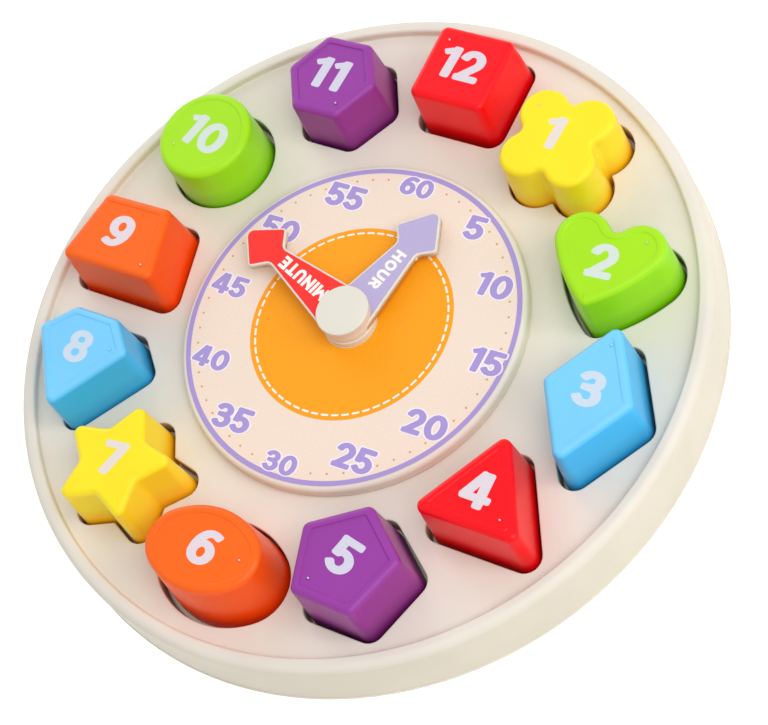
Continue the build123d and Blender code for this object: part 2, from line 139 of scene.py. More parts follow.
@dataclass(frozen=True)
class Finish:
    """How one material of the clock looks, from its name and its main colour."""

    name: str
    colour: str

    def sockets(self, tree: Tree, place: Socket) -> dict:
        """The surface shader's inputs. Each finish has its own.

        Args:
            tree: the material's node tree.
            place: the point on the object, in metres.

        Returns:
            Socket name to a value or to an output.
        """
        raise NotImplementedError

    def build(self) -> bpy.types.Material:
        """Make the material.

        Returns:
            The finished material.
        """
        material = bpy.data.materials.new(self.name)
        tree = cleared(material)
        inputs = self.sockets(tree, add_node(tree, "ShaderNodeTexCoord", {}, "Object"))
        shader = add_node(tree, "ShaderNodeBsdfPrincipled", inputs)
        add_node(tree, "ShaderNodeOutputMaterial", {"Surface": shader})
        return material


@dataclass(frozen=True)
class MouldedPlastic(Finish):
    """Injection-moulded ABS: even colour, a faint spark-eroded grain and a soft gloss.

    The colour deepens on upright walls, and more so towards a block's foot: painted shade,
    in place of the light that walls and low parts lose. The grain breaks up the highlight a
    little. White ink printed on it is thin and takes on some of its colour.
    """

    # painted shade colours: of upright walls, and of the parts below the low band
    wall_shade_colour: str
    low_shade_colour: str
    # colour of the white ink on it, and of the pale dots painted as glints on its gate marks
    print_colour: str = "#FFFFFF"
    low_shade_mm: tuple[float, float] = (14.0, 29.5)
    wall_rise: float = 0.15
    top_rise: float = 0.95
    roughness: float = 0.3
    roughness_spread: float = 0.06
    grain_mm: float = 1.1
    grain_depth_mm: float = 0.004
    relief_share: float = 0.6
    cloud_mm: float = 28.0
    cloud_share: float = 0.04

    def depth(self, tree: Tree, place: Socket) -> Socket:
        """How much of the low painted shade a point takes: zero above the low band, and one below
        it.

        Args:
            tree: the node tree that asks.
            place: the point, in metres.

        Returns:
            The share.
        """
        height = add_node(tree, "ShaderNodeSeparateXYZ", {0: place}, "Z")
        foot, head = (level * MM for level in self.low_shade_mm)
        return add_node(tree, "ShaderNodeMapRange", {0: height, 1: foot, 2: head, 3: 1.0, 4: 0.0})

    def sockets(self, tree: Tree, place: Socket) -> dict:
        """Painted shade by steepness and height under faint clouds, and grain in polish and relief.

        Args:
            tree: the material's node tree.
            place: the point on the object, in metres.

        Returns:
            Socket name to a value or to an output.
        """
        # painted shade: the colour runs from the wall shade colour to the top's by steepness, and
        # deepens to the low shade colour lower down
        facing = add_node(tree, "ShaderNodeNewGeometry", {}, "Normal")
        rise = add_node(tree, "ShaderNodeSeparateXYZ", {0: facing}, "Z")
        level = add_node(tree, "ShaderNodeMapRange", {0: rise, 1: self.wall_rise, 2: self.top_rise})
        sunk = self.depth(tree, place)
        blend = {0: sunk, 6: linear(self.wall_shade_colour), 7: linear(self.low_shade_colour)}
        wall = add_node(tree, "ShaderNodeMix", blend, 2, data_type="RGBA")
        blend = {0: level, 6: wall, 7: linear(self.colour)}
        paint = add_node(tree, "ShaderNodeMix", blend, 2, data_type="RGBA")
        noise = {"Vector": place, "Scale": 1 / (self.cloud_mm * MM), "Detail": 2.0}
        cloud = add_node(tree, "ShaderNodeTexNoise", noise)
        spread = {3: 1 - self.cloud_share, 4: 1 + self.cloud_share / 2}
        value = add_node(tree, "ShaderNodeMapRange", {0: cloud, **NOISE_BAND, **spread})
        noise = {"Vector": place, "Scale": 1 / (self.grain_mm * MM), "Detail": 3.0}
        grain = add_node(tree, "ShaderNodeTexNoise", noise)
        tint = {"Value": value, "Color": paint}
        spread = {3: self.roughness, 4: self.roughness + self.roughness_spread}
        depth = self.grain_depth_mm * MM
        relief = {"Strength": self.relief_share, "Distance": depth, "Height": grain}
        return {
            "Base Color": add_node(tree, "ShaderNodeHueSaturation", tint),
            "Roughness": add_node(tree, "ShaderNodeMapRange", {0: grain, **NOISE_BAND, **spread}),
            "Normal": add_node(tree, "ShaderNodeBump", relief),
            "IOR": 1.53,
            "Specular IOR Level": SPECULAR_LEVEL,
        }


@dataclass(frozen=True)
class HousingPlastic(MouldedPlastic):
    """The housing's ABS, with painted shade down in the wells, where little light gets in.

    Only what lies inside the wells' ring and above the floors' underside counts as a well.
    """

    shade_ring_mm: float = 125.0
    shade_floor_mm: float = 11.0

    def depth(self, tree: Tree, place: Socket) -> Socket:
        """How much painted shade a point in a well takes: zero at its mouth and outside it.

        Args:
            tree: the node tree that asks.
            place: the point, in metres.

        Returns:
            The share.
        """
        # painted shade: only inside the wells' ring and above the floors' underside
        share = super().depth(tree, place)
        height = add_node(tree, "ShaderNodeSeparateXYZ", {0: place}, "Z")
        level = {0: place, 1: (1.0, 1.0, 0.0)}
        plan = add_node(tree, "ShaderNodeVectorMath", level, operation="MULTIPLY")
        radius = add_node(tree, "ShaderNodeVectorMath", {0: plan}, "Value", operation="LENGTH")
        limits = ((radius, self.shade_ring_mm, "LESS_THAN"), (height, self.shade_floor_mm, "GREATER_THAN"))
        for measure, limit, side in limits:
            within = add_node(tree, "ShaderNodeMath", {0: measure, 1: limit * MM}, operation=side)
            share = add_node(tree, "ShaderNodeMath", {0: share, 1: within}, operation="MULTIPLY")
        return share


@dataclass(frozen=True)
class ScreenInk(Finish):
    """Screen-printed ink: a thin, flat, silky film whose colour varies a little over the sheet."""

    roughness: float = 0.42
    dot_mm: float = 0.9
    relief_mm: float = 0.01
    relief_share: float = 0.3
    tint_share: float = 0.05

    def sockets(self, tree: Tree, place: Socket) -> dict:
        """The screen's weave, faint in colour and in relief.

        Args:
            tree: the material's node tree.
            place: the point on the object, in metres.

        Returns:
            Socket name to a value or to an output.
        """
        noise = {"Vector": place, "Scale": 1 / (self.dot_mm * MM), "Detail": 4.0}
        weave = add_node(tree, "ShaderNodeTexNoise", noise)
        spread = {3: 1 - self.tint_share / 2, 4: 1 + self.tint_share / 2}
        value = add_node(tree, "ShaderNodeMapRange", {0: weave, **NOISE_BAND, **spread})
        tint = {"Value": value, "Color": linear(self.colour)}
        depth = self.relief_mm * MM
        relief = {"Strength": self.relief_share, "Distance": depth, "Height": weave}
        return {
            "Base Color": add_node(tree, "ShaderNodeHueSaturation", tint),
            "Roughness": self.roughness,
            "Normal": add_node(tree, "ShaderNodeBump", relief),
            "IOR": 1.49,
            "Specular IOR Level": SPECULAR_LEVEL,
        }


@dataclass(frozen=True)
class ZincPlate(Finish):
    """Zinc-plated steel screw: bright grey with a fine turned brushing."""

    colour: str = "#C3C5C8"
    brush_mm: float = 0.25
    relief_mm: float = 0.01
    relief_share: float = 0.4
    polish: tuple[float, float] = (0.25, 0.42)

    def sockets(self, tree: Tree, place: Socket) -> dict:
        """The brushing, in polish and in relief.

        Args:
            tree: the material's node tree.
            place: the point on the object, in metres.

        Returns:
            Socket name to a value or to an output.
        """
        noise = {"Vector": place, "Scale": 1 / (self.brush_mm * MM), "Detail": 2.0}
        brushed = add_node(tree, "ShaderNodeTexNoise", noise)
        depth = self.relief_mm * MM
        relief = {"Strength": self.relief_share, "Distance": depth, "Height": brushed}
        spread = {3: self.polish[0], 4: self.polish[1]}
        return {
            "Base Color": linear(self.colour),
            "Metallic": 1.0,
            "Roughness": add_node(tree, "ShaderNodeMapRange", {0: brushed, **NOISE_BAND, **spread}),
            "Normal": add_node(tree, "ShaderNodeBump", relief),
        }


class Plastic(Enum):
    """The moulded colours of the clock: the top's colour, then the painted shade colours of upright
    walls and of low parts, then on blocks the colour of their ink and painted glints.
    """

    CREAM = HousingPlastic(
        "cream ABS, moulded with a fine grain", "#E9E2D6", "#E4DBC8", "#927B66",
        low_shade_mm=(15.5, 20.4), roughness=0.42,
    )
    IVORY = MouldedPlastic(
        "ivory ABS, moulded smooth", "#E7E2D6", "#E4DDD0", "#E4DDD0", roughness=0.38
    )
    RED = MouldedPlastic("red ABS, polished mould", "#FF0618", "#FF000C", "#D40008", "#E2D6DF")
    YELLOW = MouldedPlastic(
        "yellow ABS, polished mould", "#FFE926", "#FFE224", "#FFA000", "#E9DFD7"
    )
    GREEN = MouldedPlastic("lime ABS, polished mould", "#A9E71C", "#9CE60C", "#58A800", "#D6E3DA")
    BLUE = MouldedPlastic("sky ABS, polished mould", "#7CD0FF", "#42BCF6", "#2890CC", "#CDDCEB")
    PURPLE = MouldedPlastic(
        "purple ABS, polished mould", "#9A3EA4", "#983290", "#4E1048", "#D6D3E5"
    )
    ORANGE = MouldedPlastic(
        "orange ABS, polished mould", "#FF6A12", "#FF5604", "#FF3800", "#E6D8E0"
    )


class Ink(Enum):
    """The printed colours of the clock."""

    PEACH = ScreenInk("peach ink, screen printed", "#F3DFCF")
    LILAC = ScreenInk("lilac ink, screen printed", "#AA98D6")
    HOUR_LILAC = ScreenInk("lilac ink of the hour hand, screen printed", "#BBAFD8")
    MINUTE_RED = ScreenInk("red ink of the minute hand, screen printed", "#FC3530")
    ORANGE = ScreenInk("orange ink, screen printed", "#FEA418")
    BROWN = ScreenInk("brown ink, screen printed", "#D89A55")
    WHITE = ScreenInk("white ink, screen printed", "#FBF8F4")
    PALE_LILAC = ScreenInk("pale lilac ink, screen printed", "#F6F0FA")


@cache
def made(choice: Enum | Finish) -> bpy.types.Material:
    """The material of a member of Plastic or Ink, or of a finish itself, built on first use."""
    return (choice.value if isinstance(choice, Enum) else choice).build()


def rays(degrees: np.ndarray | float) -> np.ndarray:
    """Unit steps at angles in degrees: the cosine and sine of each."""
    turn = np.radians(degrees)
    return np.stack([np.cos(turn), np.sin(turn)], -1)


def circle(count: int) -> np.ndarray:
    """Points on the unit circle, counter-clockwise from three o'clock."""
    return rays(np.arange(count) * FULL_TURN / count)


class StrokeEnd(Enum):
    """How a stroke ends: the radius of its corners as a share of half its width."""

    ROUND = 1.0
    SOFT = 0.55
    SQUARE = 0.0


@dataclass(frozen=True)
class Line:
    """Straight run of a stroke, between two corners of the glyph's box."""

    start: tuple[float, float]
    end: tuple[float, float]

    def points(self) -> np.ndarray:
        """The two ends."""
        return np.array([self.start, self.end])


@dataclass(frozen=True)
class Arc:
    """Elliptic run of a stroke, in degrees counter-clockwise from three o'clock."""

    centre: tuple[float, float]
    radii: tuple[float, float]
    start: float
    end: float

    def points(self) -> np.ndarray:
        """Points on the ellipse: the centre plus its radii times cosine and sine.

        Returns:
            One row of x and y a step.
        """
        count = max(3, int(abs(self.end - self.start) / ARC_STEP) + 1)
        turn = np.linspace(self.start, self.end, count)
        return np.array(self.centre) + np.array(self.radii) * rays(turn)


@dataclass(frozen=True)
class Stroke:
    """Lines and arcs that run on from each other, and their weight beside the letter's own."""

    run: tuple[Line | Arc, ...]
    weight: float = 1.0
    closed: bool = False


@dataclass(frozen=True)
class Glyph:
    """A character: its width as a share of its height, and its strokes in a unit box."""

    width: float
    strokes: tuple[Stroke, ...]


def bar(*corners: tuple[float, float], weight: float = 1.0) -> tuple[Stroke, ...]:
    """Strokes that join corners in turn."""
    return tuple(Stroke((Line(a, b),), weight) for a, b in zip(corners, corners[1:]))


def bowl(
    centre: tuple[float, float], radii: tuple[float, float], weight: float = 1.0
) -> tuple[Stroke, ...]:
    """A closed loop."""
    return (Stroke((Arc(centre, radii, 90, 90 + FULL_TURN),), weight, True),)


def curve(*run: Line | Arc) -> tuple[Stroke, ...]:
    """One open stroke."""
    return (Stroke(run),)


def glyph(width: float, *groups: tuple[Stroke, ...]) -> Glyph:
    """A character of groups of strokes."""
    return Glyph(width, sum(groups, ()))


GLYPHS = {
    "0": glyph(0.87, bowl((0.5, 0.5), (0.5, 0.5))),
    "1": glyph(0.55, bar((0.0, 0.88), (0.85, 0.99), weight=0.88), bar((0.95, 1.0), (0.76, 0.0))),
    "2": glyph(
        0.77,
        curve(Arc((0.47, 0.7), (0.52, 0.3), 158, -38), Line((0.86, 0.5), (0.1, 0.04))),
        bar((0.0, 0.0), (0.96, 0.0)),
    ),
    "3": glyph(
        0.76,
        curve(Arc((0.43, 0.77), (0.49, 0.23), 150, -88)),
        curve(Arc((0.46, 0.27), (0.54, 0.27), 88, -148)),
        bar((0.2, 0.54), (0.52, 0.54), weight=0.9),
    ),
    "4": glyph(
        0.9,
        bar((0.75, 0.0), (0.75, 1.0)),
        bar((0.54, 1.0), (0.02, 0.26)),
        bar((0.02, 0.22), (1.0, 0.22)),
    ),
    "5": glyph(
        0.77,
        bar((0.08, 1.0), (0.98, 1.0)),
        bar((0.1, 1.0), (0.02, 0.52)),
        curve(Arc((0.45, 0.3), (0.55, 0.3), 122, -142)),
    ),
    "6": glyph(
        0.81, curve(Arc((0.75, 0.33), (0.75, 0.67), 68, 182)), bowl((0.5, 0.31), (0.5, 0.31))
    ),
    "7": glyph(0.74, bar((0.0, 0.94), (0.96, 1.0)), bar((1.0, 0.98), (0.46, 0.0))),
    "8": glyph(0.79, bowl((0.5, 0.76), (0.46, 0.24), 0.9), bowl((0.5, 0.27), (0.5, 0.27), 0.9)),
    "9": glyph(
        0.81, curve(Arc((0.25, 0.67), (0.75, 0.67), -112, 2)), bowl((0.5, 0.69), (0.5, 0.31))
    ),
    "H": glyph(0.78, bar((0, 0), (0, 1)), bar((1, 0), (1, 1)), bar((0, 0.5), (1, 0.5))),
    "O": glyph(0.86, bowl((0.5, 0.5), (0.5, 0.5))),
    "U": glyph(
        0.78,
        curve(
            Line((0, 1), (0, 0.4)),
            Arc((0.5, 0.4), (0.5, 0.4), 180, 360),
            Line((1, 0.4), (1, 1)),
        ),
    ),
    "R": glyph(
        0.74,
        bar((0, 0), (0, 1)),
        curve(
            Line((0, 1), (0.5, 1)),
            Arc((0.5, 0.75), (0.45, 0.25), 90, -90),
            Line((0.5, 0.5), (0, 0.5)),
        ),
        bar((0.5, 0.45), (0.94, 0.06)),
    ),
    "M": glyph(
        0.96, bar((0, 0), (0, 1)), bar((0.06, 0.9), (0.5, 0.3), (0.94, 0.9)), bar((1, 1), (1, 0))
    ),
    "I": glyph(0.24, bar((0.5, 0), (0.5, 1))),
    "N": glyph(0.8, bar((0, 0), (0, 1)), bar((0.06, 0.9), (0.94, 0.1)), bar((1, 0), (1, 1))),
    "T": glyph(0.74, bar((0, 1), (1, 1)), bar((0.5, 1), (0.5, 0))),
    "E": glyph(0.66, bar((1, 1), (0, 1), (0, 0), (1, 0)), bar((0, 0.5), (0.85, 0.5))),
}


def ribbons(
    line: np.ndarray, half: float, end: StrokeEnd, closed: bool = False
) -> list[np.ndarray]:
    """Outlines that together cover a stroke: its centre line, moved out by half its width.

    Each point moves both ways along the line's normal. The line is cut into short runs, so
    that no outline crosses itself, and round ends join them. A loose end reaches half a width
    on, and each of its two corners is a quarter circle of the end's own radius.

    Args:
        line: centre line, one row a point.
        half: half the stroke's width.
        end: how a loose end looks.
        closed: whether the line ends where it starts.

    Returns:
        Closed outlines, counter-clockwise.
    """
    along = np.gradient(line, axis=0)
    if closed:
        along[0] = along[-1] = line[1] - line[-2]
    along /= np.linalg.norm(along, axis=1, keepdims=True)
    left = np.stack([-along[:, 1], along[:, 0]], 1)
    quarter = np.linspace(0, 90, CAP_POINTS)
    fan = np.radians([*(quarter - 90), *quarter])[:, None]
    corner = np.repeat([-1.0, 1.0], CAP_POINTS)[:, None]
    last = len(line) - 1
    cuts = [*range(0, max(1, last - RUN_POINTS // 2), RUN_POINTS), last]
    found = []
    for start, stop in zip(cuts, cuts[1:]):
        caps = []
        for point, way in ((stop, 1), (start, -1)):
            loose = point in (0, last) and not closed
            radius = half * (end.value if loose else StrokeEnd.ROUND.value)
            ahead = half - radius + radius * np.cos(fan)
            aside = corner * (half - radius) + radius * np.sin(fan)
            caps.append(line[point] + way * (ahead * along[point] + aside * left[point]))
        middle, out = line[start : stop + 1], left[start : stop + 1] * half
        found.append(np.concatenate([middle - out, caps[0], (middle + out)[::-1], caps[1]]))
    return found


def joined(run: tuple[Line | Arc, ...], size: np.ndarray) -> np.ndarray:
    """Centre line of a stroke at its real size, with doubled points left out.

    Args:
        run: the stroke's lines and arcs, each starting where the last one ends.
        size: width and height of the centre lines' box.

    Returns:
        One row a point.
    """
    points = np.concatenate([part.points() for part in run]) * size
    steps = np.linalg.norm(np.diff(points, axis=0), axis=1)
    return points[np.concatenate([[True], steps > 1e-3 * size.max()])]


@dataclass
class Lettering:
    """A number or word as flat outlines, in millimetres.

    The weight is the thickness of a level stroke beside the height. An upright one is thicker
    by the pen's stretch.
    """

    text: str
    height: float
    weight: float = 0.205
    gap: float = 0.05
    end: StrokeEnd = StrokeEnd.SOFT
    stretch: float = 1.38

    def outlines(self, border: float = 0.0) -> list[np.ndarray]:
        """Stroke outlines about the middle of the text.

        Each glyph's unit box is stretched so that its strokes, half a stroke inside it,
        fill the glyph's width and height.

        Args:
            border: how far a backing stands out round the strokes.

        Returns:
            Outlines that overlap.
        """
        thick = self.weight * self.height
        found = []
        cursor = 0.0
        for letter in self.text:
            glyph = GLYPHS[letter]
            wide = glyph.width * self.height
            size = np.array([wide / self.stretch, self.height]) - thick
            for stroke in glyph.strokes:
                line = joined(stroke.run, size) + thick / 2
                half = thick / 2 * stroke.weight + border
                for edge in ribbons(line, half, self.end, stroke.closed):
                    found.append(edge * np.array([self.stretch, 1]) + np.array([cursor, 0]))
            cursor += wide + self.gap * self.height
        middle = np.array([(cursor - self.gap * self.height) / 2, self.height / 2])
        return [outline - middle for outline in found]


def turned(outlines: list[np.ndarray], angle: float, place: tuple | np.ndarray) -> list[np.ndarray]:
    """Turn outlines, then move them.

    Args:
        outlines: rows of x and y.
        angle: how far they turn, counter-clockwise, in degrees.
        place: where their middle goes.

    Returns:
        The outlines in place.
    """
    cosine, sine = rays(angle)
    spin = np.array([[cosine, sine], [-sine, cosine]])
    return [outline @ spin + np.array(place) for outline in outlines]


def fill(outlines: list[np.ndarray], wanted: Callable[[list[int]], bool]) -> tuple:
    """Triangulate the plane between outlines and keep the triangles that are wanted.

    The outlines' edges cut each other, and each triangle knows the outlines that it lies in.

    Args:
        outlines: closed outlines, counter-clockwise.
        wanted: whether to keep a triangle, from the numbers of the outlines round it.

    Returns:
        Points, and counter-clockwise triangles as rows of point numbers.
    """
    points = [Vector(point) for outline in outlines for point in outline.tolist()]
    starts = np.cumsum([0] + [len(outline) for outline in outlines]).tolist()
    rings = [list(range(a, b)) for a, b in zip(starts, starts[1:])]
    result = delaunay_2d_cdt(points, [], rings, 1, WELD_MM / 10, True)
    corners = np.array([tuple(point) for point in result[0]])
    kept = [face for face, owners in zip(result[2], result[5]) if wanted(sorted(owners))]
    triangles = np.array(kept)
    a, b, c = (corners[triangles[:, k]] for k in range(3))
    area = (b[:, 0] - a[:, 0]) * (c[:, 1] - a[:, 1]) - (b[:, 1] - a[:, 1]) * (c[:, 0] - a[:, 0])
    return corners, np.where(area[:, None] < 0, triangles[:, ::-1], triangles)


def union(outlines: list[np.ndarray]) -> tuple[np.ndarray, np.ndarray]:
    """Fill overlapping outlines as one flat shape."""
    return fill(outlines, bool)


def settle(
    name: str, mesh: bpy.types.Mesh, finish: Enum | Finish, node: str
) -> bpy.types.Object:
    """Make a piece of a mesh.

    Args:
        name: the piece's name.
        mesh: its mesh, in place.
        finish: what it is made of.
        node: the solid whose body it takes.

    Returns:
        The piece.
    """
    mesh.materials.clear()
    mesh.materials.append(made(finish))
    piece = bpy.data.objects.new(name, mesh)
    bpy.context.scene.collection.objects.link(piece)
    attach(piece, frame["nodes"][node]["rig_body"])
    log.info("%s: %d faces, %s, rides with %s", name, len(mesh.polygons), made(finish).name, node)
    return piece


def lay(
    name: str, shape: tuple, low: float, high: float, finish: Enum | Finish, node: str
) -> None:
    """Lay a thin closed plate over a flat shape, on a solid that it rides with.

    The top is the shape itself, the bottom is the same turned over, and each edge that only
    one triangle has gets an upright wall.

    Args:
        name: the piece's name.
        shape: flat points, and counter-clockwise triangles as rows of point numbers.
        low: height of the underside, in millimetres.
        high: height of the top.
        finish: what it is made of.
        node: the solid that it lies on, and whose body it takes.
    """
    corners, triangles = shape
    count = len(corners)
    sides = [np.column_stack([corners, np.full(count, level)]) for level in (high, low)]
    edges = np.concatenate([triangles[:, [0, 1]], triangles[:, [1, 2]], triangles[:, [2, 0]]])
    known = {tuple(edge) for edge in edges.tolist()}
    border = [(u, v) for u, v in known if (v, u) not in known]
    walls = [(u + count, v + count, v, u) for u, v in sorted(border)]
    faces = triangles.tolist() + (triangles[:, ::-1] + count).tolist() + walls
    mesh = bpy.data.meshes.new(name)
    mesh.from_pydata((np.concatenate(sides) * MM).tolist(), [], faces)
    mesh.update()
    settle(name, mesh, finish, node)


def ring(inner: float, outer: float, count: int = 288) -> tuple[np.ndarray, np.ndarray]:
    """Flat ring: two circles about the dial's centre, joined by pairs of triangles.

    Args:
        inner: radius of the hole.
        outer: outer radius.
        count: points a circle.

    Returns:
        Points, and triangles as rows of point numbers.
    """
    rim = circle(count)
    here = np.arange(count)
    ahead = (here + 1) % count
    lower = np.stack([here, here + count, ahead + count], 1)
    upper = np.stack([here, ahead + count, ahead], 1)
    return np.concatenate([rim * inner, rim * outer]), np.concatenate([lower, upper])


@dataclass(frozen=True)
class RoundedPolygon:
    """Polygon with rounded corners, which run counter-clockwise.

    Tips are the corners that stand out and necks are those that cut in. Either round may be
    one radius or one for each corner.
    """

    corners: tuple[tuple[float, float], ...]
    tip_round: float | tuple[float, ...]
    neck_round: float | tuple[float, ...] = 0.8
    least_round: float = 1.0
    steps: int = 9

    def at(self, inset: float) -> np.ndarray:
        """Points of the outline moved in by an inset.

        An arc's centre lies at the same depth from both edges of its corner. A tip's arc
        shrinks with the inset down to the least radius, and a neck's arc grows with it. Outside
        the wall a neck's arc shrinks until it is a sharp corner, so that no outline crosses itself.

        Args:
            inset: how far inside the wall the outline runs. Below zero it runs outside.

        Returns:
            One row a point, counter-clockwise.
        """
        corner = np.array(self.corners)
        along = corner - np.roll(corner, 1, 0)
        along /= np.linalg.norm(along, axis=1, keepdims=True)
        inward = np.stack([-along[:, 1], along[:, 0]], 1)
        onward = np.roll(inward, -1, 0)
        agree = (inward * onward).sum(1)
        bend = np.arctan2(inward[:, 0] * onward[:, 1] - inward[:, 1] * onward[:, 0], agree)
        side = np.sign(bend)
        tip = np.maximum(np.asarray(self.tip_round) - inset, self.least_round)
        neck = np.maximum(np.asarray(self.neck_round) + inset, self.least_round * SHARP_SHARE)
        radius = np.where(side > 0, tip, neck)
        depth = inset + side * radius
        centre = corner + (inward + onward) * (depth / (1 + agree))[:, None]
        start = np.arctan2(-side * inward[:, 1], -side * inward[:, 0])
        turn = start[:, None] + bend[:, None] * np.linspace(0, 1, self.steps)
        arc = np.stack([np.cos(turn), np.sin(turn)], 2) * radius[:, None, None]
        return (centre[:, None] + arc).reshape(-1, 2)


@dataclass(frozen=True)
class ArcChain:
    """Outline of arcs that run into each other, each a centre, radius, start and sweep."""

    arcs: tuple[tuple[tuple[float, float], float, float, float], ...]
    least_round: float = 0.3
    least_points: int = 6
    step: float = 5.0
    coarse_radius: float = 20.0

    def at(self, inset: float) -> np.ndarray:
        """Points of the outline moved in by an inset.

        Each arc keeps its centre. One that swells out shrinks with the inset, and one that
        cuts in, whose sweep is negative, grows with it. Further outside the wall than such
        an arc's radius, the outline crosses itself there.

        Args:
            inset: how far inside the wall the outline runs. Below zero it runs outside.

        Returns:
            One row a point, counter-clockwise.
        """
        runs = []
        for centre, radius, start, sweep in self.arcs:
            size = max(radius - inset, self.least_round) if sweep > 0 else radius + inset
            finer = max(1.0, radius / self.coarse_radius)
            count = max(self.least_points, int(abs(sweep) / self.step * finer))
            runs.append(np.array(centre) + size * rays(start + sweep * np.arange(count) / count))
        return np.concatenate(runs)


def flower(offset: float, radius: float, neck: float = 0.8) -> ArcChain:
    """Four petals about the corners of a square, joined by rounded necks.

    A neck's centre lies on a middle line, as far from both petals' centres as their radius
    and its own together.

    Args:
        offset: how far each petal's centre lies from both middle lines.
        radius: a petal's radius.
        neck: radius of the round between two petals.

    Returns:
        The outline.
    """
    reach = offset + np.sqrt((radius + neck) ** 2 - offset**2)
    lean = np.degrees(np.arctan2(reach - offset, offset))
    arcs = []
    for turn in (0, 90, 180, 270):
        cosine, sine = rays(turn)
        petal = (offset * (cosine - sine), offset * (sine + cosine))
        arcs.append((petal, radius, turn + lean - 90, 270 - 2 * lean))
        arcs.append(((-reach * sine, reach * cosine), neck, turn - lean, 2 * lean - 180))
    return ArcChain(tuple(arcs))


def heart(
    x: float,
    y: float,
    radius: float,
    side_radius: float,
    tip_round: float,
    lobe_end: float = -30.0,
    notch_round: float = 0.8,
) -> ArcChain:
    """Two lobes with a rounded notch between them, and sides that swell on to a rounded tip.

    Each arc's centre is found from the two that it touches: circles that touch inside lie
    their radii's difference apart, and ones that touch outside their sum.

    Args:
        x: how far the right lobe's centre lies from the middle line.
        y: height of both lobes' centres.
        radius: a lobe's radius.
        side_radius: radius of a side.
        tip_round: radius of the tip.
        lobe_end: angle on the right lobe where its side begins.
        notch_round: radius of the notch.

    Returns:
        The outline.
    """
    swell_x, swell_y = np.array([x, y]) - (side_radius - radius) * rays(lobe_end)
    tip_y = swell_y - np.sqrt((side_radius - tip_round) ** 2 - swell_x**2)
    notch_y = y + np.sqrt((radius + notch_round) ** 2 - x**2)
    tip_turn = np.degrees(np.arctan2(tip_y - swell_y, -swell_x))
    notch_turn = np.degrees(np.arctan2(notch_y - y, -x))
    lobe_sweep, side_sweep = notch_turn - lobe_end, lobe_end - tip_turn
    return ArcChain(
        (
            ((x, y), radius, lobe_end, lobe_sweep),
            ((0.0, notch_y), notch_round, notch_turn + 180, 180 - 2 * notch_turn),
            ((-x, y), radius, 180 - notch_turn, lobe_sweep),
            ((-swell_x, swell_y), side_radius, 180 - lobe_end, side_sweep),
            ((0.0, tip_y), tip_round, 180 - tip_turn, 180 + 2 * tip_turn),
            ((swell_x, swell_y), side_radius, tip_turn, side_sweep),
        )
    )


def oval(half_width: float, half_height: float, end_radius: float) -> ArcChain:
    """Wide oval of two end arcs and two flatter side arcs that meet them smoothly.

    Args:
        half_width: half the oval's width.
        half_height: half its height.
        end_radius: radius of both ends.

    Returns:
        The outline.
    """
    end = half_width - end_radius
    side = (end**2 + half_height**2 - end_radius**2) / (2 * (half_height - end_radius))
    drop = side - half_height
    meet = np.degrees(np.arctan2(drop, end))
    return ArcChain(
        (
            ((end, 0.0), end_radius, -meet, 2 * meet),
            ((0.0, -drop), side, meet, 180 - 2 * meet),
            ((-end, 0.0), end_radius, 180 - meet, 2 * meet),
            ((0.0, drop), side, 180 + meet, 180 - 2 * meet),
        )
    )


def polygon(corner_round: float, *shares: tuple[float, float]) -> RoundedPolygon:
    """Polygon whose corners are shares of the blocks' size, all rounded alike."""
    return RoundedPolygon(tuple((x * BLOCK_SIZE, y * BLOCK_SIZE) for x, y in shares), corner_round)


def regular(radius: float, count: int, first: float) -> list[tuple[float, float]]:
    """Corners of a regular polygon, from a first angle in degrees."""
    corners = radius * rays(first + np.arange(count) * FULL_TURN / count)
    return list(map(tuple, corners.tolist()))


def star(tip: float, neck: float) -> list[tuple[float, float]]:
    """Corners of a five-pointed star that points up."""
    pairs = zip(regular(tip, 5, 90), regular(neck, 5, 126))
    return [corner for pair in pairs for corner in pair]


class Shape(Enum):
    """The twelve well openings. Every block is drawn from its own."""

    SQUARE = polygon(5.9, (0.449, -0.449), (0.449, 0.449), (-0.449, 0.449), (-0.449, -0.449))
    FLOWER = flower(0.219 * BLOCK_SIZE, 0.281 * BLOCK_SIZE)
    HEART = heart(*(share * BLOCK_SIZE for share in (0.263, 0.185, 0.311, 1.528, 0.129)))
    RHOMBUS = polygon(6.0, (0, 0.815), (-0.511, 0), (0, -0.815), (0.511, 0))
    TRIANGLE = polygon(5.8, (0, 0.735), (-0.647, -0.369), (0.647, -0.369))
    PENTAGON = polygon(5.8, *regular(0.602, 5, 90))
    OVAL = oval(0.641 * BLOCK_SIZE, 0.478 * BLOCK_SIZE, 0.39 * BLOCK_SIZE)
    STAR = polygon(5.9, *star(0.752, 0.405))
    GEM = polygon(
        5.3, (-0.253, 0.527), (-0.574, 0.194), (0, -0.618), (0.574, 0.194), (0.253, 0.527)
    )
    TRAPEZOID = polygon(6.2, (-0.421, 0.437), (-0.608, -0.437), (0.608, -0.437), (0.421, 0.437))
    CIRCLE = ArcChain((((0.0, 0.0), 0.504 * BLOCK_SIZE, 0.0, 360.0),), step=3.75)
    HEXAGON = polygon(5.7, *regular(0.542, 6, 0))


def grid_faces(rows: int, columns: int, first: int, wrap: bool = False) -> list[tuple[int, ...]]:
    """Quads of a grid whose columns close round.

    With rows that climb and columns that run counter-clockwise, the quads face outwards.

    Args:
        rows: how many rings of points.
        columns: how many points a ring.
        first: number of the grid's first point.
        wrap: whether the last row joins the first.

    Returns:
        Point numbers of each quad.
    """
    row = np.arange(rows if wrap else rows - 1)[:, None]
    column = np.arange(columns)[None]
    here, above = row * columns, (row + 1) % rows * columns
    ahead = (column + 1) % columns
    quads = np.stack([here + column, here + ahead, above + ahead, above + column], 2)
    return list(map(tuple, (quads.reshape(-1, 4) + first).tolist()))


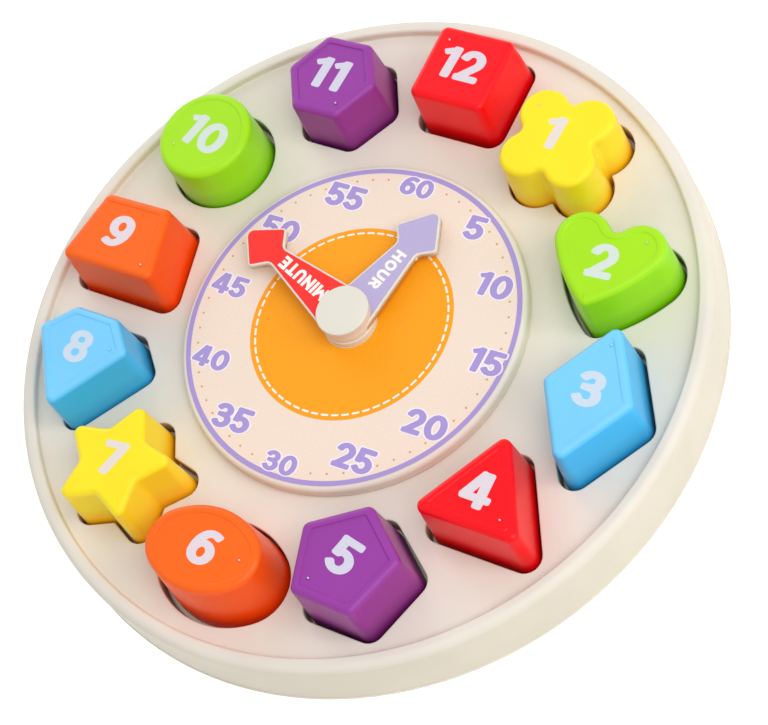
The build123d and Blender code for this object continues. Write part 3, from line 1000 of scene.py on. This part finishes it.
@dataclass
class Skin:
    """Surface under construction: points in millimetres, and faces."""

    points: list[np.ndarray] = field(default_factory=list)
    faces: list[tuple[int, ...]] = field(default_factory=list)
    count: int = 0

    def add(self, points: np.ndarray) -> int:
        """Take in points.

        Args:
            points: rows of x, y and z.

        Returns:
            The number of the first.
        """
        first = self.count
        self.points.append(points)
        self.count += len(points)
        return first

    def stack(
        self, rings: list[np.ndarray], heights: list[float], foot: bool = False, head: bool = False
    ) -> None:
        """Join rings of points, each at its height, into a wall.

        Args:
            rings: outlines with the same number of points.
            heights: one height a ring.
            foot: whether a flat face that looks down closes the first ring.
            head: whether a flat face that looks up closes the last one.
        """
        rows = [np.column_stack([ring, np.full(len(ring), z)]) for ring, z in zip(rings, heights)]
        first, count = self.add(np.concatenate(rows)), len(rings[0])
        self.faces += grid_faces(len(rings), count, first)
        if foot:
            self.faces.append(tuple(range(first, first + count))[::-1])
        if head:
            last = first + count * (len(rings) - 1)
            self.faces.append(tuple(range(last, last + count)))

    def lathe(self, profile: np.ndarray, columns: int, wrap: bool) -> None:
        """Turn a profile about the upright axis.

        Args:
            profile: rows of radius and height. A closed one runs counter-clockwise.
            columns: points round the axis.
            wrap: whether the profile is closed.
        """
        flat = profile[:, :1, None] * circle(columns).T[None]
        points = np.stack([flat[:, 0], flat[:, 1], np.repeat(profile[:, 1:], columns, 1)], 2)
        first = self.add(points.reshape(-1, 3))
        self.faces += grid_faces(len(profile), columns, first, wrap)

    def sheet(self, rim: np.ndarray, holes: list[np.ndarray], height: float, up: bool) -> None:
        """Flat sheet with holes: the triangles inside the rim that lie in no hole.

        Args:
            rim: its outline, counter-clockwise.
            holes: outlines of what is left out.
            height: the level of the sheet.
            up: whether it looks up.
        """
        corners, triangles = fill([rim, *holes], lambda owners: owners == [0])
        first = self.add(np.column_stack([corners, np.full(len(corners), height)]))
        self.faces += map(tuple, (triangles[:, :: 1 if up else -1] + first).tolist())

    def finish(
        self, node: str, finish: Enum | Finish, crease: float = 40.0, suffix: str = "skin"
    ) -> None:
        """Make the surface a piece.

        Args:
            node: the solid that it stands for, or that it adds to.
            finish: what it is made of.
            crease: angle in degrees above which an edge stays sharp.
            suffix: what its name adds to the solid's.
        """
        raw = bpy.data.meshes.new("raw")
        raw.from_pydata((np.concatenate(self.points) * MM).tolist(), [], self.faces)
        weld(raw, node, finish, crease, suffix)
        bpy.data.meshes.remove(raw)


def weld(
    source: bpy.types.Mesh,
    node: str,
    finish: Enum | Finish,
    crease: float = 40.0,
    suffix: str = "skin",
) -> None:
    """Make a piece of a mesh with its doubled points merged and its roundings smooth.

    Normals at a corner are the mean of its faces' normals, each weighted by its area, so
    that flat faces stay flat and roundings run into them.

    Args:
        source: the mesh, which stays as it is. It may be the solid's own.
        node: the solid whose body the piece takes, and whose place if it is a skin.
        finish: what it is made of.
        crease: angle in degrees above which an edge stays sharp.
        suffix: what its name adds to the solid's.
    """
    shell = bmesh.new()
    shell.from_mesh(source)
    bmesh.ops.remove_doubles(shell, verts=shell.verts, dist=WELD_MM * MM)
    name = f"{node}_{suffix}"
    mesh = bpy.data.meshes.new(name)
    shell.to_mesh(mesh)
    shell.free()
    mesh.polygons.foreach_set("use_smooth", np.ones(len(mesh.polygons), bool))
    mesh.polygons.foreach_set("material_index", np.zeros(len(mesh.polygons), np.int32))
    mesh.set_sharp_from_angle(angle=np.radians(crease))
    piece = settle(name, mesh, finish, node)
    even = piece.modifiers.new("even shading", "WEIGHTED_NORMAL")
    even.keep_sharp = True
    if suffix == "skin":
        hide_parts(node)


def dress(node: str, finish: Enum | Finish) -> None:
    """Give a solid its finish.

    Args:
        node: the solid.
        finish: what it is made of.
    """
    solid = frame["nodes"][node]
    solid.data.materials.clear()
    solid.data.materials.append(made(finish))
    log.info("%s: %s", node, made(finish).name)


@dataclass
class ToyBlock:
    """A sorting block: its node, shape, place, colour, and what is on its top.

    A well's place is a share of the ring's radius, a block's rest off its well's middle and its
    turn there are shares of the play, and a gate mark's place is a share of the block's size.
    """

    node: str
    shape: Shape
    inset: float
    well_share: tuple[float, float]
    rest_share: tuple[float, float]
    turn_share: float
    plastic: Plastic
    number: str
    number_place: tuple[float, float]
    number_turn: float
    panel: float
    gate_share: tuple[float, float] | None
    play: float = 1.2

    def well(self, inset: float) -> np.ndarray:
        """Outline of the well at an inset, in place."""
        return self.shape.value.at(inset) + np.array(self.well_share) * PITCH_RADIUS

    def seated(self, points: np.ndarray) -> np.ndarray:
        """Points about the block's own middle, turned and moved to where it rests.

        Args:
            points: rows of x and y.

        Returns:
            The same points in the clock's frame.
        """
        turn = np.degrees(np.arctan(2 * self.turn_share * self.play / BLOCK_SIZE))
        middle = np.array(self.well_share) * PITCH_RADIUS + np.array(self.rest_share) * self.play
        return turned([points], turn, middle)[0]


FLAT, SHALLOW, DEEP = 0.0, 0.32, 0.6  # how far a block's top panel is sunk
BLOCKS = (
    ToyBlock(
        "block_01_flower", Shape.FLOWER, 2.6, (0.486, 0.852), (0.1, -0.6), 0.3,
        Plastic.YELLOW, "1", (47.2, 85.6), 0, FLAT, (-0.273, 0.259),
    ),
    ToyBlock(
        "block_02_heart", Shape.HEART, 3.2, (0.854, 0.436), (0.5, -0.3), 0.45,
        Plastic.GREEN, "2", (86.7, 43.3), 4, SHALLOW, (0.317, 0.258),
    ),
    ToyBlock(
        "block_03_rhombus", Shape.RHOMBUS, 3.5, (1.023, -0.035), (0.3, -0.15), 0,
        Plastic.BLUE, "3", (103.1, -2.5), 0, SHALLOW, (0.017, 0.451),
    ),
    ToyBlock(
        "block_04_triangle", Shape.TRIANGLE, 3.3, (0.825, -0.494), (0.45, -0.05), 0,
        Plastic.RED, "4", (82.4, -48.1), 0, SHALLOW, (0.276, -0.149),
    ),
    ToyBlock(
        "block_05_pentagon", Shape.PENTAGON, 3.3, (0.480, -0.858), (0.3, -0.3), -0.45,
        Plastic.PURPLE, "5", (48.4, -85.2), -11, DEEP, (-0.195, -0.256),
    ),
    ToyBlock(
        "block_06_oval", Shape.OVAL, 4.0, (-0.023, -1.007), (0, 0.6), 0.6,
        Plastic.ORANGE, "6", (-1.8, -99.3), 0, SHALLOW, (0.385, 0.005),
    ),
    ToyBlock(
        "block_07_star", Shape.STAR, 3.4, (-0.523, -0.813), (0.3, -0.5), 0,
        Plastic.YELLOW, "7", (-52.5, -81.1), 0, FLAT, None,
    ),
    ToyBlock(
        "block_08_gem", Shape.GEM, 2.8, (-0.892, -0.498), (0.2, -0.6), 0,
        Plastic.BLUE, "8", (-88.8, -46.2), 0, SHALLOW, (0.322, 0.171),
    ),
    ToyBlock(
        "block_09_trapezoid", Shape.TRAPEZOID, 3.7, (-0.967, 0.006), (0.1, 0.05), 0.3,
        Plastic.ORANGE, "9", (-97.6, 1.3), 0, SHALLOW, (0.351, -0.237),
    ),
    ToyBlock(
        "block_10_circle", Shape.CIRCLE, 2.5, (-0.862, 0.493), (0.4, -0.65), 0,
        Plastic.GREEN, "10", (-85.2, 48.7), -12, SHALLOW, (-0.241, -0.173),
    ),
    ToyBlock(
        "block_11_hexagon", Shape.HEXAGON, 3.2, (-0.481, 0.860), (0.4, -0.4), 0.45,
        Plastic.PURPLE, "11", (-49.0, 86.2), 0, DEEP, (0.173, -0.259),
    ),
    ToyBlock(
        "block_12_square", Shape.SQUARE, 3.4, (0.006, 1.014), (0.22, 0.5), 0,
        Plastic.RED, "12", (0.6, 102.9), 0, FLAT, (-0.234, 0.232),
    ),
)


@dataclass
class Housing:
    """Front shell with its twelve wells, back, screws, and the dial's moulded parts."""

    face: float = 20.8
    rim: float = 24.2
    wall: float = 2.4
    foot: float = 1.0
    foot_radius: float = 132.393
    top_radius: float = 131.793
    step_radius: float = 126.093
    step_round: float = 0.7
    rim_rounds: tuple[float, float] = (3.4, 1.1)
    bore: float = 7.3
    well_depth: float = 8.0
    well_wall: float = 1.8
    mouth_round: float = 0.6
    floor_edge: float = 0.5
    round_steps: int = 7
    columns: int = 360
    dial_radius: float = 65.893
    dial_top: float = 25.9
    dial_round: float = 1.7
    seam: float = 0.4
    seam_depth: float = 1.0
    hub_radius: float = 9.9
    hub_top: float = 28.9
    hub_round: float = 0.8
    tube_radius: float = 7.0
    tube_foot: float = 14.4
    shank_bore: float = 4.05
    shank_gap: float = 0.05
    knob_radius: float = 10.0
    knob_level: float = 34.5
    knob_top: float = 35.9
    knob_round: float = 0.5
    steel_nodes: tuple[str, ...] = (
        "rear_cover_screws",
        "dial_plate_screws",
        "knob_screw",
        "knob_washer",
    )

    def rim_profile(self) -> np.ndarray:
        """Radius and height from the face's underside, down the inside, out and up to the face."""
        under = self.face - self.wall
        inner = self.step_radius - self.wall * 2
        corners = (
            (self.top_radius - self.wall, under),
            (self.foot_radius - self.wall, self.foot),
            (self.foot_radius, self.foot),
            (self.top_radius, self.rim),
            (self.step_radius, self.rim),
            (self.step_radius, self.face),
            (inner, self.face),
            (inner, under),
        )
        outer, inside = self.rim_rounds
        profile = RoundedPolygon(
            corners, (0, 0, 0.2, outer, inside, 0, 0, 0), self.step_round, 0.0, 9
        )
        kept = 6 * profile.steps
        return profile.at(0.0)[:kept]

    def well(self, skin: Skin, block: ToyBlock) -> None:
        """Add a well: rounded mouth, wall, floor, and a plainer box round it from outside.

        The floor's edge climbs from the wall's foot, so that the floor stands above the
        solid's by as much as the edge reaches in.

        Args:
            skin: the shell.
            block: the block that the well is for.
        """
        bottom = self.face - self.well_depth
        turn = np.radians(np.linspace(90, 0, self.round_steps))
        mouth = self.mouth_round * (np.cos(turn) - 1)
        drop = self.mouth_round * (np.sin(turn) - 1)
        climb = self.floor_edge * (1 - np.sin(turn))
        rings = [block.well(inset) for inset in (*mouth, *climb)]
        skin.stack(rings, [*(self.face + drop), *(bottom + climb)], head=True)
        outside = [block.well(-self.well_wall)] * 2
        skin.stack(outside, [bottom - self.well_wall, self.face - self.wall], foot=True)

    def shell(self) -> None:
        """Build the front shell's surface."""
        skin = Skin()
        profile = self.rim_profile()
        skin.lathe(profile, self.columns, False)
        rim = circle(self.columns)
        mouths = [block.well(-self.mouth_round) for block in BLOCKS]
        wells = [block.well(-self.well_wall) for block in BLOCKS]
        under = self.face - self.wall
        skin.sheet(rim * profile[-1, 0], [*mouths, rim * self.bore], self.face, True)
        skin.sheet(rim * profile[0, 0], [*wells, rim * self.bore], under, False)
        skin.stack([rim * self.bore] * 2, [self.face, under])
        for block in BLOCKS:
            self.well(skin, block)
        skin.finish("front_shell", Plastic.CREAM)

    def turned_parts(self) -> None:
        """Build the dial plate and the knob, which are round."""
        under = self.dial_top - self.wall
        dial = RoundedPolygon(
            (
                (self.shank_bore, self.hub_top),
                (self.shank_bore, self.tube_foot),
                (self.tube_radius, self.tube_foot),
                (self.tube_radius, under),
                (self.dial_radius - self.wall, under),
                (self.dial_radius - self.wall, self.face),
                (self.dial_radius - self.seam_depth, self.face),
                (self.dial_radius - self.seam_depth, self.face + self.seam),
                (self.dial_radius, self.face + self.seam),
                (self.dial_radius, self.dial_top),
                (self.hub_radius, self.dial_top),
                (self.hub_radius, self.hub_top),
            ),
            (0, 0, 0, 0, 0, 0, 0, 0, 0.2, self.dial_round, 0, self.hub_round),
            0.0,
            0.0,
        )
        skin = Skin()
        skin.lathe(dial.at(0.0), self.columns, True)
        skin.finish("dial_plate", Plastic.CREAM)
        shank = self.shank_bore - self.shank_gap
        knob = RoundedPolygon(
            (
                (0.0, self.knob_top),
                (0.0, self.tube_foot),
                (shank, self.tube_foot),
                (shank, self.knob_level),
                (self.knob_radius, self.knob_level),
                (self.knob_radius, self.knob_top),
            ),
            (0, 0, 0, 0, 0.1, self.knob_round),
            0.0,
            0.0,
        )
        skin = Skin()
        skin.lathe(knob.at(0.0), self.columns // 2, True)
        skin.finish("hand_knob", Plastic.IVORY)

    def build(self) -> None:
        """Build and dress the housing."""
        self.shell()
        self.turned_parts()
        weld(frame["nodes"]["rear_cover"].data, "rear_cover", Plastic.CREAM)
        for node in self.steel_nodes:
            weld(frame["nodes"][node].data, node, ZincPlate("zinc-plated steel, turned"))


@dataclass
class Dial:
    """Everything printed on the dial's label. A minute is its text, place and height."""

    label_level: float = 26.1
    film: float = 0.03
    turn: float = 1.3
    ring_outer: float = 63.993
    ring_inner: float = 62.1
    disc_radius: float = 38.8
    disc_sides: int = 192
    hub_clear: float = 10.2
    dash_radius: float = 36.8
    dash_count: int = 59
    dash_share: float = 0.56
    dash_width: float = 0.75
    dot_radius: float = 59.4
    dot_size: float = 0.42
    dot_sides: int = 12
    dot_step: float = 6.0
    dots_between: int = 5
    outline: float = 0.42
    minutes: tuple[tuple[str, tuple[float, float], float], ...] = (
        ("60", (0.0, 57.9), 7.7),
        ("5", (29.1, 48.1), 9.7),
        ("10", (46.1, 28.4), 9.5),
        ("15", (55.9, 0.0), 9.7),
        ("20", (45.2, -28.6), 9.7),
        ("25", (25.5, -48.1), 9.7),
        ("30", (-0.3, -58.0), 7.8),
        ("35", (-26.3, -47.6), 9.7),
        ("40", (-46.1, -28.2), 8.3),
        ("45", (-53.4, 1.0), 8.4),
        ("50", (-44.7, 27.8), 9.3),
        ("55", (-25.7, 47.3), 9.7),
    )

    def coat(self, name: str, shape: tuple, ink: Ink, layer: int) -> None:
        """Lay one colour of ink on the label.

        Args:
            name: the piece's name.
            shape: flat points and triangles.
            ink: its colour.
            layer: how many films lie under it.
        """
        high = self.label_level + self.film * (layer + 1)
        lay(name, shape, self.label_level - self.film, high, ink, "dial_label")

    def dashes(self) -> list[np.ndarray]:
        """Short arcs evenly spaced on a circle, like a row of stitches."""
        step = FULL_TURN / self.dash_count
        radii = (self.dash_radius, self.dash_radius)
        runs = []
        for number in range(self.dash_count):
            start = number * step
            arc = Arc((0, 0), radii, start, start + step * self.dash_share)
            runs += ribbons(arc.points(), self.dash_width / 2, StrokeEnd.ROUND)
        return runs

    def dots(self) -> list[np.ndarray]:
        """Small discs at each minute that has no number."""
        disc = circle(self.dot_sides) * self.dot_size
        found = []
        for minute in range(int(FULL_TURN / self.dot_step)):
            if minute % self.dots_between:
                found.append(disc + self.dot_radius * rays(90 - minute * self.dot_step + self.turn))
        return found

    def build(self) -> None:
        """Print the label."""
        dress("dial_label", Ink.PEACH)
        self.coat("dial_ring", ring(self.ring_inner, self.ring_outer), Ink.LILAC, 0)
        disc = ring(self.hub_clear, self.disc_radius, self.disc_sides)
        self.coat("dial_disc", disc, Ink.ORANGE, 0)
        self.coat("dial_dashes", union(self.dashes()), Ink.WHITE, 1)
        self.coat("dial_dots", union(self.dots()), Ink.BROWN, 0)
        layers = (("_outline", self.outline, Ink.PALE_LILAC, 1), ("", 0.0, Ink.LILAC, 2))
        for text, place, height in self.minutes:
            letters = Lettering(text, height)
            (spot,) = turned([np.array(place)], self.turn, (0.0, 0.0))
            for ending, border, ink, layer in layers:
                shape = union(turned(letters.outlines(border), self.turn, spot))
                self.coat(f"minute_{text}{ending}", shape, ink, layer)


@dataclass(frozen=True)
class HandWord:
    """The word along a hand: where it starts, how it reads and what it is printed on."""

    text: str
    node: str
    ground: Ink
    angle: float
    reach: float
    height: float
    outward: bool


@dataclass
class Hands:
    """Printed labels and words of the two hands."""

    film: float = 0.03
    weight: float = 0.24
    gap: float = 0.12
    words: tuple[HandWord, ...] = (
        HandWord("HOUR", "hour_hand", Ink.HOUR_LILAC, 16.9, 22.4, 4.8, False),
        HandWord("MINUTE", "minute_hand", Ink.MINUTE_RED, 290.2, 22.6, 5.2, True),
    )

    def build(self) -> None:
        """Dress both hands and labels and print the words."""
        for word in self.words:
            label = f"{word.node}_label"
            weld(frame["nodes"][word.node].data, word.node, Plastic.IVORY)
            dress(label, word.ground)
            letters = Lettering(
                word.text, word.height, self.weight, self.gap, StrokeEnd.SQUARE, stretch=1.0
            )
            along = 90.0 - word.angle
            turn = along if word.outward else along + 180.0
            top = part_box(label)[1].z / MM
            shape = union(turned(letters.outlines(), turn, word.reach * rays(along)))
            lay(f"{word.node}_word", shape, top - self.film, top + self.film, Ink.WHITE, label)


@dataclass
class BlockSet:
    """The twelve blocks with their bases, gate marks with painted glints, and printed numbers."""

    foot_level: float = 12.8
    edge_round: float = 2.3
    base_rim: float = 1.3
    base_depth: float = 1.8
    ease: float = 0.35
    panel_inset: float = 2.9
    panel_slope: float = 0.5
    edge_steps: int = 9
    panel_steps: int = 7
    number_height: float = 13.4
    film: float = 0.04
    gate_radius: float = 0.85
    gate_rise: float = 0.3
    gate_sink: float = 0.3
    gate_tip: float = 0.02
    gate_rings: int = 13
    gate_sides: int = 24
    gate_crease: float = 80.0
    # radius of the pale dot painted as a glint on the gate mark
    painted_glint_radius: float = 0.34

    def profile(self, block: ToyBlock, top: float) -> tuple[list[float], list[float]]:
        """Insets and heights from the middle of the underside up to the middle of the top.

        The wall leans in evenly. The edge's arc touches the wall and the flat top, so its
        centre lies a radius below the top and a radius inside the wall. A panel's edge falls
        as half a cosine wave.

        Args:
            block: the block.
            top: height of its top.

        Returns:
            Insets from the well's outline, and heights.
        """
        lean = np.arctan((block.inset - block.play - self.ease) / (top - self.foot_level))
        centre = top - self.edge_round
        inside = block.play + (centre - self.foot_level) * np.tan(lean)
        inside += self.edge_round / np.cos(lean)
        turn = np.linspace(lean, np.pi / 2, self.edge_steps)
        insets = [block.play + self.base_rim] * 2 + [block.play]
        heights = [self.foot_level + self.base_depth, self.foot_level, self.foot_level]
        insets += (inside - self.edge_round * np.cos(turn)).tolist()
        heights += (centre + self.edge_round * np.sin(turn)).tolist()
        if block.panel:
            edge = block.inset + self.panel_inset
            share = np.linspace(0, 1, self.panel_steps)
            insets += (edge + self.panel_slope * (share - 0.5)).tolist()
            heights += (top - block.panel * (1 - np.cos(np.pi * share)) / 2).tolist()
        return insets, heights

    def body(self, block: ToyBlock, top: float) -> None:
        """Build a block's surface.

        Args:
            block: the block.
            top: height of its top.
        """
        skin = Skin()
        insets, heights = self.profile(block, top)
        rings = [block.seated(block.shape.value.at(inset)) for inset in insets]
        skin.stack(rings, heights, foot=True, head=True)
        skin.finish(block.node, block.plastic)

    def gate_mark(self, block: ToyBlock, level: float) -> None:
        """Build the low ring that a pin gate leaves, and in it a pale dot painted as the glint of
        its stub.

        The ring's section is a squared cosine: up from the face, down and up again.

        Args:
            block: the block.
            level: height of the face that it stands on.
        """
        share = np.linspace(0, 1, self.gate_rings)
        swell = np.cos(share * 3 * np.pi / 2) ** 2
        disc = circle(self.gate_sides)
        middle = block.seated(np.array([block.gate_share]) * BLOCK_SIZE)
        radii = self.gate_radius * (1 - share) + self.gate_tip
        heights = level + self.gate_rise * np.where(share > 0, 1 - swell, -self.gate_sink)
        heights[-1] = heights[-2]
        skin = Skin()
        rings = [disc * radius + middle for radius in radii]
        skin.stack(rings, heights.tolist(), foot=True, head=True)
        skin.finish(block.node, block.plastic, self.gate_crease, "gate")
        # a pale ink dot on the stub: a painted glint
        painted_glint, high = union([disc * self.painted_glint_radius + middle]), level + self.gate_rise + self.film
        below = block.plastic.value
        stub = ScreenInk(f"painted glint of {below.name}", below.print_colour)
        lay(f"{block.node}_pip", painted_glint, level, high, stub, block.node)

    def number(self, block: ToyBlock, level: float) -> None:
        """Print a block's number.

        Args:
            block: the block.
            level: height of the face that it is printed on.
        """
        letters = Lettering(block.number, self.number_height)
        shape = union(turned(letters.outlines(), block.number_turn, block.number_place))
        below = block.plastic.value
        ink = ScreenInk(f"white ink, pad printed on {below.name}", below.print_colour)
        lay(f"{block.node}_number", shape, level - self.film, level + self.film, ink, block.node)

    def build(self) -> None:
        """Build each block, dress its base, mark it and print its number."""
        for block in BLOCKS:
            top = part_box(block.node)[1].z / MM
            self.body(block, top)
            if block.gate_share:
                self.gate_mark(block, top - block.panel)
            dress(f"{block.node}_base", block.plastic)
            self.number(block, top - block.panel)


@dataclass
class Lamp:
    """A square softbox that looks at the clock."""

    name: str
    azimuth: float
    elevation: float
    distance: float
    size: float
    power: float

    def build(self) -> None:
        """Hang the lamp on a sphere about the clock, turned to its middle."""
        out, up = rays(self.elevation)
        place = self.distance * np.array([*(out * rays(self.azimuth)), up])
        data = bpy.data.lights.new(self.name, "AREA")
        data.energy = self.power
        data.size = self.size
        lamp = bpy.data.objects.new(self.name, data)
        lamp.location = place.tolist()
        lamp.rotation_euler = (-Vector(place.tolist())).to_track_quat("-Z", "Y").to_euler()
        bpy.context.scene.collection.objects.link(lamp)


@dataclass
class Studio:
    """Camera, lamps, sky and floor."""

    camera_place: tuple[float, float, float] = (0.41540, -0.25207, 0.72923)
    camera_turn: tuple[float, float, float] = (28.1031, 18.8377, 27.4390)
    lens_mm: float = 111.60
    sensor_mm: float = 36.0
    sky: float = 0.54
    floor_radius: float = 3000.0
    floor_opening: float = 132.0
    floor_glow: float = 0.55
    floor_gap: float = 0.05
    fibre_mm: float = 1 / 0.9
    fibre_depth_mm: float = 0.02
    lamps: tuple[Lamp, ...] = (
        Lamp("key", 355.0, 58.0, 1.6, 1.3, 13.5),
        Lamp("back", 145.0, 25.0, 1.6, 0.9, 5.2),
        Lamp("fill", 15.0, 27.0, 1.6, 0.45, 2.9),
    )

    def build(self) -> None:
        """Set up the picture."""
        scene = bpy.context.scene
        scene.view_settings.view_transform = "Standard"
        data = bpy.data.cameras.new("camera")
        data.sensor_width = self.sensor_mm
        data.sensor_fit = "HORIZONTAL"
        data.lens = self.lens_mm
        data.clip_start = 0.01
        camera = bpy.data.objects.new("camera", data)
        camera.location = self.camera_place
        camera.rotation_euler = Euler(np.radians(self.camera_turn).tolist(), "XYZ")
        scene.collection.objects.link(camera)
        scene.camera = camera
        for lamp in self.lamps:
            lamp.build()
        self.build_sky(scene)
        self.build_floor(scene)

    def seen(self, tree: Tree) -> Socket:
        """Light path test: one for camera, glossy and transmission rays, else zero.

        Args:
            tree: the node tree that asks.

        Returns:
            The test's output.
        """
        test = 0.0
        for kind in ("Is Camera Ray", "Is Glossy Ray", "Is Transmission Ray"):
            ray = add_node(tree, "ShaderNodeLightPath", {}, kind)
            test = add_node(tree, "ShaderNodeMath", {0: test, 1: ray}, operation="MAXIMUM")
        return test

    def build_sky(self, scene: bpy.types.Scene) -> None:
        """Even white surroundings: plain light on the clock, full white to the eye.

        Args:
            scene: the scene to light.
        """
        world = bpy.data.worlds.new("studio")
        tree = cleared(world)
        strength = add_node(tree, "ShaderNodeMapRange", {0: self.seen(tree), 3: self.sky, 4: 1.0})
        back = add_node(tree, "ShaderNodeBackground", {0: linear("#FFFFFF"), 1: strength})
        add_node(tree, "ShaderNodeOutputWorld", {0: back})
        scene.world = world

    def build_floor(self, scene: bpy.types.Scene) -> None:
        """White paper floor that shows the clock's shadow and can't be seen from below.

        The clock covers an opening in it, through which light reaches the back.

        Args:
            scene: the scene that it lies in.
        """
        material = bpy.data.materials.new("white seamless paper, matt")
        tree = cleared(material)
        place = add_node(tree, "ShaderNodeTexCoord", {}, "Object")
        noise = {"Vector": place, "Scale": 1 / (self.fibre_mm * MM), "Detail": 2.0}
        fibre = add_node(tree, "ShaderNodeTexNoise", noise)
        relief = {"Strength": 0.1, "Distance": self.fibre_depth_mm * MM, "Height": fibre}
        bump = add_node(tree, "ShaderNodeBump", relief)
        paper = add_node(tree, "ShaderNodeBsdfDiffuse", {0: linear("#F4F4F4"), "Normal": bump})
        share = {0: self.seen(tree), 1: self.floor_glow}
        glow = add_node(tree, "ShaderNodeMath", share, operation="MULTIPLY")
        white = add_node(tree, "ShaderNodeEmission", {0: linear("#FFFFFF"), 1: glow})
        both = add_node(tree, "ShaderNodeAddShader", {0: paper, 1: white})
        below = add_node(tree, "ShaderNodeNewGeometry", {}, "Backfacing")
        clear = add_node(tree, "ShaderNodeBsdfTransparent", {})
        sheet = add_node(tree, "ShaderNodeMixShader", {0: below, 1: both, 2: clear})
        add_node(tree, "ShaderNodeOutputMaterial", {"Surface": sheet})
        corners, triangles = ring(self.floor_opening, self.floor_radius)
        points = np.column_stack([corners, np.full(len(corners), -self.floor_gap)]) * MM
        mesh = bpy.data.meshes.new("floor")
        mesh.from_pydata(points.tolist(), [], triangles.tolist())
        mesh.materials.append(material)
        floor = bpy.data.objects.new("floor", mesh)
        scene.collection.objects.link(floor)


def main() -> None:
    """Build the clock's looks in order."""
    logging.basicConfig(level=logging.INFO, format="%(message)s")
    for assembly in (Housing(), Dial(), Hands(), BlockSet(), Studio()):
        log.info("building the %s", type(assembly).__name__)
        assembly.build()


if __name__ == "__main__":
    main()
